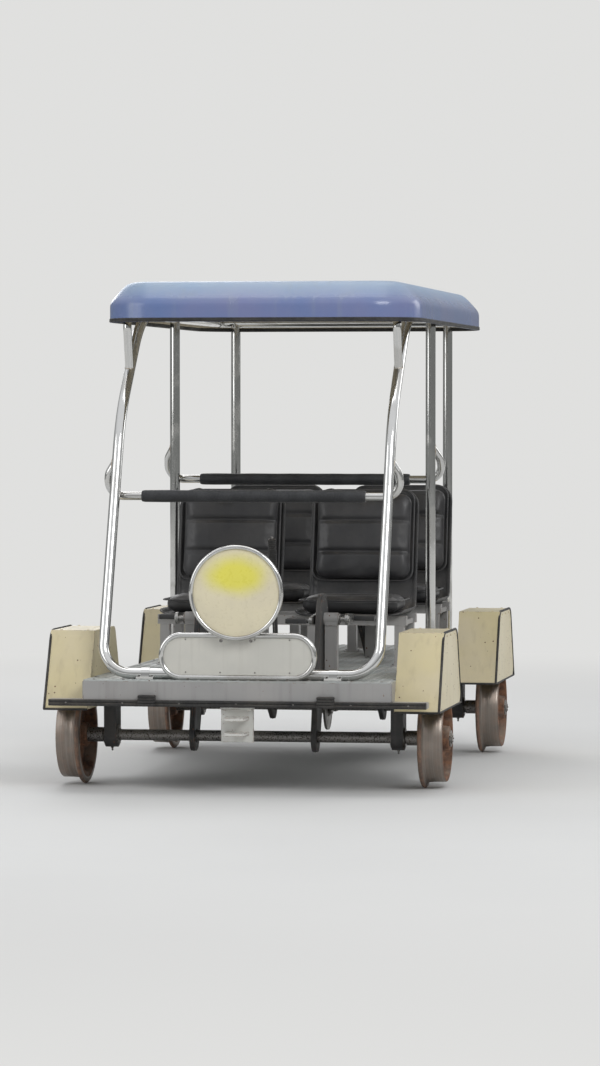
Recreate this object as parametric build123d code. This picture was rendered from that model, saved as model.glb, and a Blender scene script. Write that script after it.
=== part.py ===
"""Four-seat pedal rail bike, an open vehicle that four riders pedal along a 1435 mm track.

Millimetres. The front faces -Y, +X is its left-hand side, +Z is up. The origin lies midway between
the axles and the sides, at the lowest point of the wheel flanges. The rail tops are a flange's
depth higher.
"""
from build123d import *
from math import acos, atan2, cos, radians, sin, sqrt, tan
import os

# Track and wheels
GAUGE = 1435.0
FLANGE_PLAY = 5.5
TREAD_RADIUS = 175.0
TREAD_WIDTH = 78.0
FLANGE_DEPTH = 25.0
FLANGE_WIDTH = 22.0
FLANGE_FRONT_SHARE = 0.25
FLANGE_BACK_SHARE = 0.33
FLANGE_BACK_DROP = 8.0
RIM_THICKNESS = 22.0
WEB_THICKNESS = 12.0
HUB_RADIUS = 48.0
HUB_OVERHANG = 10.0
AXLE_TO_FRAME_END = 425.0

# Axles and their bearings
AXLE_RADIUS = 22.5
AXLE_END = 6.0
COLLAR_RADIUS = 30.0
BEARING_WIDTH = 50.0
BEARING_RADIUS = 50.0
BEARING_FOOT_LENGTH = 180.0
BEARING_FOOT_THICKNESS = 16.0
RUNNING_FIT = 0.06
DISC_RADIUS = 110.0
DISC_THICKNESS = 10.0
DISC_HUB_RADIUS = 38.0
DISC_HUB_WIDTH = 44.0

# Chassis frame of box tube
FRAME_LENGTH = 2750.0
FRAME_BOTTOM = 345.0
FRAME_HEIGHT = 100.0
BEAM_OVERHANG = 42.5
BEAM_DEPTH = 60.0
SILL_TO_RAIL = 97.5
SILL_WIDTH = 60.0
CROSS_DEPTH = 50.0
END_CROSS_INSET = 245.0
MIDDLE_CROSS_TO_BACK = (-510.0, -20.0, 320.0)
STRINGER_WIDTH = 40.0
STRINGER_HEIGHT = 60.0
DECK_THICKNESS = 5.0
SLOT_PLAY = 8.0

# Rubber strips and buffer blocks on the beams
STRIP_HEIGHT = 26.0
STRIP_THICKNESS = 12.0
BUFFER_PLACE = 360.0
BUFFER_SIZE = (70.0, 24.0, 46.0)

# Couplers
COUPLER_PLATE = (130.0, 12.0, 140.0)
COUPLER_FLANGE_THICKNESS = 8.0
COUPLER_REACH = 65.0
PIN_RADIUS = 10.5
PIN_SETBACK = 25.0
JAW_WIDTH = 90.0
JAW_THICKNESS = 12.0
JAW_GAP = 48.0
JAW_CENTRE_DROP = 75.0
TONGUE_WIDTH = 60.0
TONGUE_THICKNESS = 16.0

# Wheel covers of folded sheet
COVER_WIDTH = 181.0
COVER_BOTTOM = 325.0
COVER_TOP = 635.0
COVER_BOTTOM_LENGTH = 680.0
COVER_TOP_LENGTH = 400.0
COVER_SHEET = 3.0
COVER_CORNER = 45.0

# Canopy frame of round tube
POST_RADIUS = 21.35
POST_INSET = 60.0
POST_FOOT_INSET = 75.0
POST_LEAN = 20.0
POST_BEND_DROP = 425.0
ROOF_RAIL_DROP = 130.0
POST_BEND_RADIUS = 600.0
RAIL_BEND_RADIUS = 480.0
FOOT_BEND_RADIUS = 120.0
REAR_CORNER_RADIUS = 65.0
REAR_TUBE_INSET = 30.0
STRUT_DROP = 240.0
STRUT_RUN = 125.0
STRUT_RADIUS = 17.0
STRUT_BEND_RADIUS = 60.0
FOOT_CLAMP = (70.0, 64.0, 10.0)
FOOT_CLAMP_PLACE = 380.0
MIDDLE_POST_TO_BACK = 160.0
REAR_POST_INSET = 70.0
POST_PLATE_RADIUS = 52.0
POST_PLATE_THICKNESS = 8.0

# Canopy shell and the bows that carry it
CANOPY_OVERHANG = 90.0
CANOPY_FRONT_INSET = 475.0
CANOPY_REAR_OVERHANG = 45.0
CANOPY_CORNER = 220.0
CANOPY_TOP = 2055.0
CANOPY_HEIGHT = 170.0
CANOPY_CROWN = 90.0
CANOPY_SHOULDER = 85.0
CANOPY_WALL = 5.0
BOW_COUNT = 5
BOW_END_INSET = 300.0
BOW_DEPTH = 30.0
BOW_HEIGHT = 20.0
BOW_SHOULDER_INSET = 25.0
BOW_BEND_RADIUS = 60.0

# Grip bars: a chrome tube with J-shaped ends, and a foam sleeve
GRIP_RADIUS = 17.0
SLEEVE_RADIUS = 25.0
SLEEVE_HALF = 460.0
GRIP_SETBACK = 70.0
GRIP_OUT = 45.0
GRIP_RISE = 150.0
GRIP_BEND_RADIUS = 62.0
GRIP_TOP_BEND_RADIUS = 50.0
GRIP_KNUCKLE_OUT = 36.0
GRIP_KNUCKLE_RISE = 93.0
FRONT_GRIP_Z = 1175.0
REAR_GRIP_Z = 1225.0

# Sign frame and round disc at the front
SIGN_INSET = 30.0
SIGN_WIDTH = 640.0
SIGN_HEIGHT = 190.0
SIGN_CORNER = 85.0
SIGN_TUBE_RADIUS = 11.0
SIGN_PLATE_THICKNESS = 5.0
SIGN_STUB_RADIUS = 8.0
SIGN_STUB_PLACE = 200.0
DISC_TO_SIGN = 35.0
DISC_TO_SIGN_TOP = 160.0
DISC_RING_RADIUS = 181.0
DISC_TUBE_RADIUS = 9.0
DISC_FRONT_DEPTH = 18.0
DISC_BACK_DEPTH = 46.0
DISC_CLAMP_PLACE = 60.0
DISC_CLAMP_WIDTH = 24.0

# Seats
SEAT_SIDE = 290.0
ROW_PITCH = 1110.0
REAR_BACK_INSET = 185.0
SEAT_WIDTH = 460.0
SEAT_DEPTH = 420.0
SEAT_PAN_BOTTOM = 662.0
SEAT_SHELL = 8.0
SEAT_BEND_RADIUS = 60.0
BACK_LENGTH = 530.0
BACK_LEAN = 12.0
CUSHION_SIZE = (440.0, 335.0, 75.0)
CUSHION_SETBACK = 4.0
CUSHION_CORNER = 24.0
BACK_PAD_SIZE = (440.0, 64.0, 400.0)
BACK_PAD_RISE = 118.0
STAND_TUBE = 40.0
STAND_HALF = 530.0
STAND_FRONT_SETBACK = 360.0
STAND_REAR_SETBACK = 70.0
STAND_LEG_SIDES = (500.0, 130.0)

# Pedal drive
CRANK_TO_BACK = 860.0
CRANK_Z = 670.0
CRANK_LENGTH = 150.0
CRANK_THICKNESS = 12.0
CRANK_HUB_RADIUS = 24.0
CRANK_EYE_RADIUS = 15.0
SPINDLE_RADIUS = 10.0
SHELL_RADIUS = 27.0
SHELL_HALF = 28.0
SHELL_STEP = 2.0
PEDAL_POST = 50.0
CASE_THICKNESS = 20.0
CASE_TO_ARM = 7.0
CASE_TOP_RADIUS = 105.0
CASE_BOTTOM_RADIUS = 62.0
CASE_SPINDLE_PLAY = 5.0
CASE_AXLE_PLAY = 6.0
PEDAL_PIN_RADIUS = 6.0
PEDAL_SIZE = (85.0, 95.0, 22.0)
PEDAL_TO_ARM = 6.0
PEDAL_EDGE = 6.0
BORE_OVERRUN = 10.0

# Hand brake
LEVER_TO_CRANK = 350.0
LEVER_PIVOT_Z = 500.0
LEVER_LENGTH = 500.0
LEVER_LEAN = -12.0
LEVER_RADIUS = 11.0
LEVER_GRIP_RADIUS = 16.0
LEVER_GRIP_LENGTH = 125.0
LEVER_HUB_RADIUS = 19.0
LEVER_HUB_WIDTH = 26.0
LEVER_PIN_RADIUS = 6.0
LEVER_PIN_TIP = 3.0
BRACKET_GAP = 1.0
BRACKET_PLATE = 6.0
BRACKET_LENGTH = 80.0
BRACKET_TOP = 26.0
BRACKET_BASE = (70.0, 110.0, 6.0)
CALIPER_HALF = 28.0
CALIPER_SLOT_PLAY = 5.5
CALIPER_REACH = (65.0, 150.0)
CALIPER_RISE = (-32.0, 62.0)
CALIPER_ARM_REACH = 138.0
CABLE_RADIUS = 4.0
CABLE_SIDE = 20.0
CABLE_TO_LEVER = 50.0
CABLE_END_REACH = 115.0
CABLE_BEND = 40.0

# Rear reflectors
REFLECTOR_RADIUS = 40.0
REFLECTOR_DEPTH = 14.0
REFLECTOR_INSET = 60.0

# Sizes that follow from the ones above
WHEEL_Z = TREAD_RADIUS + FLANGE_DEPTH
FRAME_HALF = FRAME_LENGTH / 2
AXLE_PLACES = {"front": AXLE_TO_FRAME_END - FRAME_HALF, "rear": FRAME_HALF - AXLE_TO_FRAME_END}
FLANGE_OUT = GAUGE / 2 - FLANGE_PLAY
FLANGE_IN = FLANGE_OUT - FLANGE_WIDTH
TREAD_OUT = FLANGE_OUT + TREAD_WIDTH
FRAME_TOP = FRAME_BOTTOM + FRAME_HEIGHT
DECK_TOP = FRAME_TOP + DECK_THICKNESS
BEAM_WIDTH = GAUGE + 2 * BEAM_OVERHANG
SILL_OUTSIDE = GAUGE / 2 - SILL_TO_RAIL
SILL_MIDDLE = SILL_OUTSIDE - SILL_WIDTH / 2
BACK_FEET = {"front": FRAME_HALF - REAR_BACK_INSET - ROW_PITCH, "rear": FRAME_HALF - REAR_BACK_INSET}
CRANK_PLACES = {row: foot - CRANK_TO_BACK for row, foot in BACK_FEET.items()}
END_CROSS = FRAME_HALF - END_CROSS_INSET
CROSS_PLACES = (-END_CROSS, *(BACK_FEET["front"] + place for place in MIDDLE_CROSS_TO_BACK), END_CROSS)
POST_SIDE = SILL_OUTSIDE - POST_INSET
POST_FOOT_Y = POST_FOOT_INSET - FRAME_HALF
REAR_POST_SIDE = POST_SIDE - REAR_POST_INSET
REAR_TUBE_Y = FRAME_HALF - REAR_TUBE_INSET
MIDDLE_POST_Y = BACK_FEET["front"] + MIDDLE_POST_TO_BACK
ROOF_RAIL_Z = CANOPY_TOP - ROOF_RAIL_DROP
POST_BEND_Z = ROOF_RAIL_Z - POST_BEND_DROP
STRUT_FOOT_Z = ROOF_RAIL_Z - STRUT_DROP
CANOPY_WIDTH = 2 * (POST_SIDE + CANOPY_OVERHANG)
BOW_SHOULDER_SIDE = CANOPY_WIDTH / 2 - CANOPY_SHOULDER - BOW_SHOULDER_INSET
CANOPY_FRONT = CANOPY_FRONT_INSET - FRAME_HALF
CANOPY_REAR = FRAME_HALF + CANOPY_REAR_OVERHANG
CANOPY_RIM_BOTTOM = CANOPY_TOP - CANOPY_HEIGHT
CANOPY_RIM_TOP = CANOPY_TOP - CANOPY_CROWN
SIGN_Y = SIGN_INSET - FRAME_HALF
DISC_Y = SIGN_Y - DISC_TO_SIGN
DISC_Z = DECK_TOP + SIGN_HEIGHT + DISC_TO_SIGN_TOP
REFLECTOR_SIDE = SILL_OUTSIDE - REFLECTOR_INSET
SIDES = {"left": 1, "right": -1}
CASE_FAR = SHELL_HALF + SHELL_STEP + CASE_THICKNESS
ARM_NEAR = CASE_FAR + CASE_TO_ARM
ARM_FAR = ARM_NEAR + CRANK_THICKNESS
PEDAL_NEAR = ARM_FAR + PEDAL_TO_ARM
PEDAL_FAR = PEDAL_NEAR + PEDAL_SIZE[0]
POST_BEND_Y = POST_FOOT_Y + (POST_BEND_Z - DECK_TOP - POST_RADIUS) * tan(radians(POST_LEAN))
RAIL_BEND_Y = POST_BEND_Y + ROOF_RAIL_Z - POST_BEND_Z
STRUT_TOP_Y = POST_BEND_Y + STRUT_RUN
CALIPER_Y = tuple(AXLE_PLACES["rear"] + reach for reach in CALIPER_REACH)
CALIPER_Z = tuple(WHEEL_Z + rise for rise in CALIPER_RISE)
CABLE_END_Y = AXLE_PLACES["rear"] + CABLE_END_REACH
LEVER_Y = CRANK_PLACES["front"] + LEVER_TO_CRANK
CABLE_START_Y = LEVER_Y + CABLE_TO_LEVER


def block(x, y, z):
    """A box from its low and high values along each axis."""
    low = [min(pair) for pair in (x, y, z)]
    size = [abs(pair[1] - pair[0]) for pair in (x, y, z)]
    return Pos(*low) * Box(*size, align=Align.MIN)


def rod_x(x, y, z, radius):
    """A cylinder along X from x[0] to x[1]."""
    rod = Cylinder(radius, abs(x[1] - x[0]), rotation=(0, 90, 0))
    return Pos((x[0] + x[1]) / 2, y, z) * rod


def rod_y(x, y, z, radius):
    """A cylinder along Y from y[0] to y[1]."""
    rod = Cylinder(radius, abs(y[1] - y[0]), rotation=(90, 0, 0))
    return Pos(x, (y[0] + y[1]) / 2, z) * rod


def rod_z(x, y, z, radius):
    """A cylinder along Z from z[0] to z[1]."""
    return Pos(x, y, (z[0] + z[1]) / 2) * Cylinder(radius, abs(z[1] - z[0]))


def bent_tube(points, bends, radius):
    """A round bar along straight runs joined by tangent arcs."""
    path = FilletPolyline(*points, radius=bends) if bends else Polyline(*points)
    start = Plane(origin=path @ 0, z_dir=path % 0)
    return sweep(start * Circle(radius), path=path)


def both_sides(shape):
    """A piece of the left side with its mirror image on the right."""
    return Compound([shape, mirror(shape, Plane.YZ)])


def yz_prism(outline, x):
    """An outline drawn in Y and Z, extruded from x[0] to x[1]."""
    face = Plane(origin=(min(x), 0, 0), x_dir=(0, 1, 0), z_dir=(1, 0, 0)) * outline
    return extrude(face, amount=abs(x[1] - x[0]))


def belt_outline(first, first_radius, second, second_radius):
    """Two circles with the straight band between their outer tangents."""
    dy, dz = second[0] - first[0], second[1] - first[1]
    heading = atan2(dz, dy)
    spread = acos((first_radius - second_radius) / sqrt(dy * dy + dz * dz))
    corners = []
    for centre, radius, order in ((first, first_radius, (1, -1)), (second, second_radius, (-1, 1))):
        for turn in order:
            angle = heading + turn * spread
            corners.append((centre[0] + radius * cos(angle), centre[1] + radius * sin(angle)))
    band = Polygon(*corners, align=None)
    return band + Pos(*first) * Circle(first_radius) + Pos(*second) * Circle(second_radius)


def post_y(z):
    """Where the leaning front post's centre line lies at a height below its upper bend."""
    return POST_FOOT_Y + (z - DECK_TOP - POST_RADIUS) * tan(radians(POST_LEAN))


def wheel(side, axle_y):
    """A steel wheel with a flange, a turned tread, a thin web and a hub."""
    rim_in = TREAD_RADIUS - RIM_THICKNESS
    web_in = (FLANGE_IN + TREAD_OUT - WEB_THICKNESS) / 2
    web_out = web_in + WEB_THICKNESS
    hub_out = TREAD_OUT + HUB_OVERHANG
    profile = Polygon(
        (FLANGE_IN, AXLE_RADIUS), (hub_out, AXLE_RADIUS), (hub_out, HUB_RADIUS), (web_out, HUB_RADIUS),
        (web_out, rim_in), (TREAD_OUT, rim_in), (TREAD_OUT, TREAD_RADIUS), (FLANGE_OUT, TREAD_RADIUS),
        (FLANGE_OUT - FLANGE_WIDTH * FLANGE_FRONT_SHARE, WHEEL_Z),
        (FLANGE_IN + FLANGE_WIDTH * FLANGE_BACK_SHARE, WHEEL_Z),
        (FLANGE_IN, WHEEL_Z - FLANGE_BACK_DROP), (FLANGE_IN, rim_in), (web_in, rim_in),
        (web_in, HUB_RADIUS), (FLANGE_IN, HUB_RADIUS), align=None)
    turned = revolve(profile, axis=Axis.X)
    if side < 0:
        turned = mirror(turned, Plane.YZ)
    return Pos(0, axle_y, WHEEL_Z) * turned


def wheels(axle_y):
    """The two wheels that are pressed on one axle."""
    return Compound([wheel(side, axle_y) for side in SIDES.values()])


def axle(axle_y, braked):
    """A turned axle with a collar inside each wheel, and a brake disc if it is braked."""
    end = TREAD_OUT + HUB_OVERHANG + AXLE_END
    shaft = rod_x((-end, end), axle_y, WHEEL_Z, AXLE_RADIUS)
    for side in SIDES.values():
        collar = (side * (SILL_OUTSIDE + BRACKET_PLATE), side * FLANGE_IN)
        shaft += rod_x(collar, axle_y, WHEEL_Z, COLLAR_RADIUS)
    if braked:
        shaft += rod_x((-DISC_HUB_WIDTH / 2, DISC_HUB_WIDTH / 2), axle_y, WHEEL_Z, DISC_HUB_RADIUS)
        shaft += rod_x((-DISC_THICKNESS / 2, DISC_THICKNESS / 2), axle_y, WHEEL_Z, DISC_RADIUS)
    return shaft


def bearing_blocks():
    """Four housings bolted under the sills, bored for the axles with a running fit."""
    housings = []
    for axle_y in AXLE_PLACES.values():
        low, high = SILL_MIDDLE - BEARING_WIDTH / 2, SILL_MIDDLE + BEARING_WIDTH / 2
        foot = block((low, high), (axle_y - BEARING_FOOT_LENGTH / 2, axle_y + BEARING_FOOT_LENGTH / 2),
                     (FRAME_BOTTOM - BEARING_FOOT_THICKNESS, FRAME_BOTTOM))
        body = block((low, high), (axle_y - BEARING_RADIUS, axle_y + BEARING_RADIUS),
                     (WHEEL_Z, FRAME_BOTTOM))
        housing = foot + body + rod_x((low, high), axle_y, WHEEL_Z, BEARING_RADIUS)
        housing -= rod_x((low, high), axle_y, WHEEL_Z, AXLE_RADIUS + RUNNING_FIT)
        housings.append(both_sides(housing))
    return Compound([solid for pair in housings for solid in pair.solids()])


def end_beams():
    """The front and the rear beam, each with a lip that runs on before the ends of the wheel covers."""
    beams = []
    for end in (-1, 1):
        along = (end * (FRAME_HALF - BEAM_DEPTH), end * FRAME_HALF)
        beam = block((-SILL_OUTSIDE, SILL_OUTSIDE), along, (FRAME_BOTTOM, FRAME_TOP))
        lip = block((-BEAM_WIDTH / 2, BEAM_WIDTH / 2), along, (FRAME_BOTTOM, FRAME_BOTTOM + STRIP_HEIGHT))
        beams.append((beam + lip).solid())
    return Compound(beams)


def side_sills():
    """Two sills between the beams."""
    along = (-FRAME_HALF + BEAM_DEPTH, FRAME_HALF - BEAM_DEPTH)
    return Compound([block((side * (SILL_OUTSIDE - SILL_WIDTH), side * SILL_OUTSIDE), along,
                           (FRAME_BOTTOM, FRAME_TOP)) for side in SIDES.values()])


def cross_members():
    """The cross members between the sills."""
    across = (-SILL_OUTSIDE + SILL_WIDTH, SILL_OUTSIDE - SILL_WIDTH)
    return Compound([block(across, (place - CROSS_DEPTH / 2, place + CROSS_DEPTH / 2),
                           (FRAME_BOTTOM, FRAME_TOP)) for place in CROSS_PLACES])


def stringers():
    """Short lengths under each row of seats, welded in between the beams and the cross members."""
    starts = [-FRAME_HALF + BEAM_DEPTH] + [place + CROSS_DEPTH / 2 for place in CROSS_PLACES]
    ends = [place - CROSS_DEPTH / 2 for place in CROSS_PLACES] + [FRAME_HALF - BEAM_DEPTH]
    lengths = []
    for along in zip(starts, ends):
        for side in SIDES.values():
            across = (side * (SEAT_SIDE - STRINGER_WIDTH / 2), side * (SEAT_SIDE + STRINGER_WIDTH / 2))
            lengths.append(block(across, along, (FRAME_TOP - STRINGER_HEIGHT, FRAME_TOP)))
    return Compound(lengths)


def chain_case(side, row, play=0.0):
    """A flat case round the chain between a crank and the axle of its end, grown by a play."""
    crank, axle_centre = (CRANK_PLACES[row], CRANK_Z), (AXLE_PLACES[row], WHEEL_Z)
    outline = belt_outline(crank, CASE_TOP_RADIUS + play, axle_centre, CASE_BOTTOM_RADIUS + play)
    near = SEAT_SIDE - CASE_FAR - play
    return yz_prism(outline, (side * near, side * (near + CASE_THICKNESS + 2 * play)))


def chain_cases():
    """Four chain cases, open round the crank spindles and round the axles."""
    cases = []
    for row in CRANK_PLACES:
        for side in SIDES.values():
            across = (side * (SEAT_SIDE - ARM_NEAR), side * SEAT_SIDE)
            case = chain_case(side, row)
            case -= rod_x(across, CRANK_PLACES[row], CRANK_Z, SPINDLE_RADIUS + CASE_SPINDLE_PLAY)
            case -= rod_x(across, AXLE_PLACES[row], WHEEL_Z, AXLE_RADIUS + CASE_AXLE_PLAY)
            cases.append(case.solid())
    return Compound(cases)


def floor_deck():
    """The tread plate floor, with a slot round each chain case."""
    deck = block((-SILL_OUTSIDE, SILL_OUTSIDE), (-FRAME_HALF, FRAME_HALF), (FRAME_TOP, DECK_TOP))
    for row in CRANK_PLACES:
        for side in SIDES.values():
            deck -= chain_case(side, row, SLOT_PLAY)
    return deck


def beam_rubber(end):
    """A rubber strip along the foot of a beam's outer face, with two buffer blocks."""
    face = end * FRAME_HALF
    strip = block((-BEAM_WIDTH / 2, BEAM_WIDTH / 2), (face, face + end * STRIP_THICKNESS),
                  (FRAME_BOTTOM, FRAME_BOTTOM + STRIP_HEIGHT))
    for side in SIDES.values():
        middle = side * BUFFER_PLACE
        strip += block((middle - BUFFER_SIZE[0] / 2, middle + BUFFER_SIZE[0] / 2),
                       (face, face + end * BUFFER_SIZE[1]), (FRAME_BOTTOM, FRAME_BOTTOM + BUFFER_SIZE[2]))
    return strip


def coupler_plate(end):
    """The hanging plate of a coupler, with the flange that bolts it under the beam."""
    middle = end * (FRAME_HALF - BEAM_DEPTH / 2)
    width, thickness, height = COUPLER_PLATE
    plate = block((-width / 2, width / 2), (middle - thickness / 2, middle + thickness / 2),
                  (FRAME_BOTTOM - height, FRAME_BOTTOM))
    return plate + block((-width / 2, width / 2), (middle - BEAM_DEPTH / 2, middle + BEAM_DEPTH / 2),
                         (FRAME_BOTTOM - COUPLER_FLANGE_THICKNESS, FRAME_BOTTOM))


def coupler_bar(end, width, thickness, level):
    """A flat bar that reaches out from a coupler's plate, round at its tip and bored for the pin."""
    eye = end * (FRAME_HALF + COUPLER_REACH - PIN_SETBACK)
    root = end * (FRAME_HALF - BEAM_DEPTH / 2)
    tip = end * (FRAME_HALF + COUPLER_REACH)
    bar = block((-width / 2, width / 2), (root, tip), (level - thickness / 2, level + thickness / 2))
    corners = bar.edges().filter_by(Axis.Z).sort_by(Axis.Y)
    outer = corners[:2] if end < 0 else corners[-2:]
    bar = fillet(outer, min(PIN_SETBACK, width / 2 - 1))
    return bar - rod_z(0, eye, (level - thickness, level + thickness), PIN_RADIUS)


def front_coupler():
    """A pair of jaws that takes the next vehicle's tongue."""
    level = FRAME_BOTTOM - JAW_CENTRE_DROP
    step = (JAW_GAP + JAW_THICKNESS) / 2
    jaws = [coupler_bar(-1, JAW_WIDTH, JAW_THICKNESS, level + turn * step) for turn in (-1, 1)]
    return coupler_plate(-1) + jaws[0] + jaws[1]


def rear_coupler():
    """A single tongue that fits between another vehicle's jaws."""
    return coupler_plate(1) + coupler_bar(1, TONGUE_WIDTH, TONGUE_THICKNESS, FRAME_BOTTOM - JAW_CENTRE_DROP)


def cover_outline(axle_y, inset):
    """The cover's side view: a trapezium with rounded shoulders, drawn smaller by an inset."""
    slope = (COVER_BOTTOM_LENGTH - COVER_TOP_LENGTH) / 2 / (COVER_TOP - COVER_BOTTOM)
    slanted = inset * sqrt(1 + slope * slope)
    half_top = COVER_TOP_LENGTH / 2 - slanted + inset * slope
    half_bottom = COVER_BOTTOM_LENGTH / 2 - slanted
    shape = Polygon((axle_y - half_bottom, COVER_BOTTOM), (axle_y + half_bottom, COVER_BOTTOM),
                    (axle_y + half_top, COVER_TOP - inset), (axle_y - half_top, COVER_TOP - inset),
                    align=None)
    return fillet(shape.vertices().sort_by(Axis.Y)[1:3], COVER_CORNER - inset)


def wheel_covers():
    """Four sheet boxes over the wheels, open below and closed on every other side."""
    covers = []
    for axle_y in AXLE_PLACES.values():
        outside = yz_prism(cover_outline(axle_y, 0.0), (SILL_OUTSIDE, SILL_OUTSIDE + COVER_WIDTH))
        inside = yz_prism(cover_outline(axle_y, COVER_SHEET),
                          (SILL_OUTSIDE + COVER_SHEET, SILL_OUTSIDE + COVER_WIDTH - COVER_SHEET))
        covers.append(both_sides(outside - inside))
    return Compound([solid for pair in covers for solid in pair.solids()])


def canopy_frame():
    """The front loop, its two posts bent back into the roof rails, and the rear cross tube."""
    foot_z = DECK_TOP + POST_RADIUS
    half = bent_tube(
        [(0, REAR_TUBE_Y, ROOF_RAIL_Z), (POST_SIDE, REAR_TUBE_Y, ROOF_RAIL_Z),
         (POST_SIDE, RAIL_BEND_Y, ROOF_RAIL_Z), (POST_SIDE, POST_BEND_Y, POST_BEND_Z),
         (POST_SIDE, POST_FOOT_Y, foot_z), (0, POST_FOOT_Y, foot_z)],
        [REAR_CORNER_RADIUS, RAIL_BEND_RADIUS, POST_BEND_RADIUS, FOOT_BEND_RADIUS], POST_RADIUS)
    strut_foot_y = POST_BEND_Y + STRUT_FOOT_Z - POST_BEND_Z
    half += bent_tube(
        [(POST_SIDE, RAIL_BEND_Y + RAIL_BEND_RADIUS / 2, ROOF_RAIL_Z), (POST_SIDE, STRUT_TOP_Y, ROOF_RAIL_Z),
         (POST_SIDE, strut_foot_y, STRUT_FOOT_Z)], [STRUT_BEND_RADIUS], STRUT_RADIUS)
    width, depth, thickness = FOOT_CLAMP
    half += block((FOOT_CLAMP_PLACE - width / 2, FOOT_CLAMP_PLACE + width / 2),
                  (POST_FOOT_Y - depth / 2, POST_FOOT_Y + depth / 2), (DECK_TOP, DECK_TOP + thickness))
    return half + mirror(half, Plane.YZ)


def standing_posts(side_place, y, frame):
    """A pair of upright posts on round foot plates, fitted up to the roof frame."""
    post = rod_z(side_place, y, (DECK_TOP, ROOF_RAIL_Z), POST_RADIUS)
    post += rod_z(side_place, y, (DECK_TOP, DECK_TOP + POST_PLATE_THICKNESS), POST_PLATE_RADIUS)
    post = (post - frame).solids().sort_by(Axis.Z)[0]
    return both_sides(post)


def rear_post_plates_trim(posts):
    """Foot plates cut flush with the rear edge of the deck."""
    behind = block((-BEAM_WIDTH, BEAM_WIDTH), (FRAME_HALF, FRAME_HALF + BEAM_DEPTH), (DECK_TOP, ROOF_RAIL_Z))
    return Compound([(post - behind).solid() for post in posts.solids()])


def canopy_block(inset):
    """A rounded rectangle with an upright rim and a sloped shoulder, drawn smaller by an inset."""
    width = CANOPY_WIDTH - 2 * inset
    length = CANOPY_REAR - CANOPY_FRONT - 2 * inset
    corner = CANOPY_CORNER - inset
    middle = (CANOPY_FRONT + CANOPY_REAR) / 2
    shrink = 2 * CANOPY_SHOULDER
    wide = RectangleRounded(width, length, corner)
    narrow = RectangleRounded(width - shrink, length - shrink, corner / 2)
    bottom = CANOPY_RIM_BOTTOM - inset
    rim = Pos(0, middle, bottom) * extrude(wide, amount=CANOPY_RIM_TOP - bottom)
    crown = loft([Pos(0, middle, CANOPY_RIM_TOP) * wide, Pos(0, middle, CANOPY_TOP - inset) * narrow],
                 ruled=True)
    return rim + crown


def canopy_shell():
    """One moulded shell, open below, as thick as its wall."""
    return canopy_block(0.0) - canopy_block(CANOPY_WALL)


def canopy_bows(frame):
    """Flat-topped bows from rail to rail, which the shell rests on."""
    top = CANOPY_TOP - CANOPY_WALL - BOW_HEIGHT / 2
    first, last = CANOPY_FRONT + BOW_END_INSET, CANOPY_REAR - BOW_END_INSET
    bows = []
    for index in range(BOW_COUNT):
        y = first + (last - first) * index / (BOW_COUNT - 1)
        path = FilletPolyline((-POST_SIDE, y, ROOF_RAIL_Z), (-BOW_SHOULDER_SIDE, y, top),
                              (BOW_SHOULDER_SIDE, y, top), (POST_SIDE, y, ROOF_RAIL_Z),
                              radius=BOW_BEND_RADIUS)
        start = Plane(origin=path @ 0, x_dir=(0, 1, 0), z_dir=path % 0)
        bow = sweep(start * Rectangle(BOW_DEPTH, BOW_HEIGHT), path=path) - frame
        bows.append(bow.solids().sort_by(SortBy.VOLUME)[-1])
    return Compound(bows)


def grip_bar(bar_y, bar_z, weld_y, posts):
    """A cross tube whose J-shaped ends rise outside the posts and turn back in to be welded on."""
    half = bent_tube(
        [(0, bar_y, bar_z), (POST_SIDE + GRIP_OUT, bar_y, bar_z),
         (POST_SIDE + GRIP_KNUCKLE_OUT, (bar_y + weld_y) / 2, bar_z + GRIP_KNUCKLE_RISE),
         (POST_SIDE, weld_y, bar_z + GRIP_RISE)],
        [GRIP_BEND_RADIUS, GRIP_TOP_BEND_RADIUS], GRIP_RADIUS)
    half = (half - posts).solids().sort_by(SortBy.VOLUME)[-1]
    return half + mirror(half, Plane.YZ)


def grip_sleeve(bar_y, bar_z):
    """A foam sleeve over the straight stretch of a grip bar."""
    span = (-SLEEVE_HALF, SLEEVE_HALF)
    return rod_x(span, bar_y, bar_z, SLEEVE_RADIUS) - rod_x(span, bar_y, bar_z, GRIP_RADIUS)


def sign_frame(canopy_tubes):
    """A tube bent round the sign plate, with two stubs to the front loop."""
    middle = DECK_TOP + SIGN_HEIGHT / 2
    half_width, half_height = SIGN_WIDTH / 2 - SIGN_TUBE_RADIUS, SIGN_HEIGHT / 2 - SIGN_TUBE_RADIUS
    corner = min(SIGN_CORNER, half_height - 1)
    half = bent_tube(
        [(0, SIGN_Y, middle + half_height), (half_width, SIGN_Y, middle + half_height),
         (half_width, SIGN_Y, middle - half_height), (0, SIGN_Y, middle - half_height)],
        [corner, corner], SIGN_TUBE_RADIUS)
    half += rod_y(SIGN_STUB_PLACE, (SIGN_Y, POST_FOOT_Y), DECK_TOP + POST_RADIUS, SIGN_STUB_RADIUS)
    half += rod_z(SIGN_STUB_PLACE, SIGN_Y, (middle - half_height, DECK_TOP + POST_RADIUS), SIGN_STUB_RADIUS)
    return (half + mirror(half, Plane.YZ)) - canopy_tubes


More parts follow.
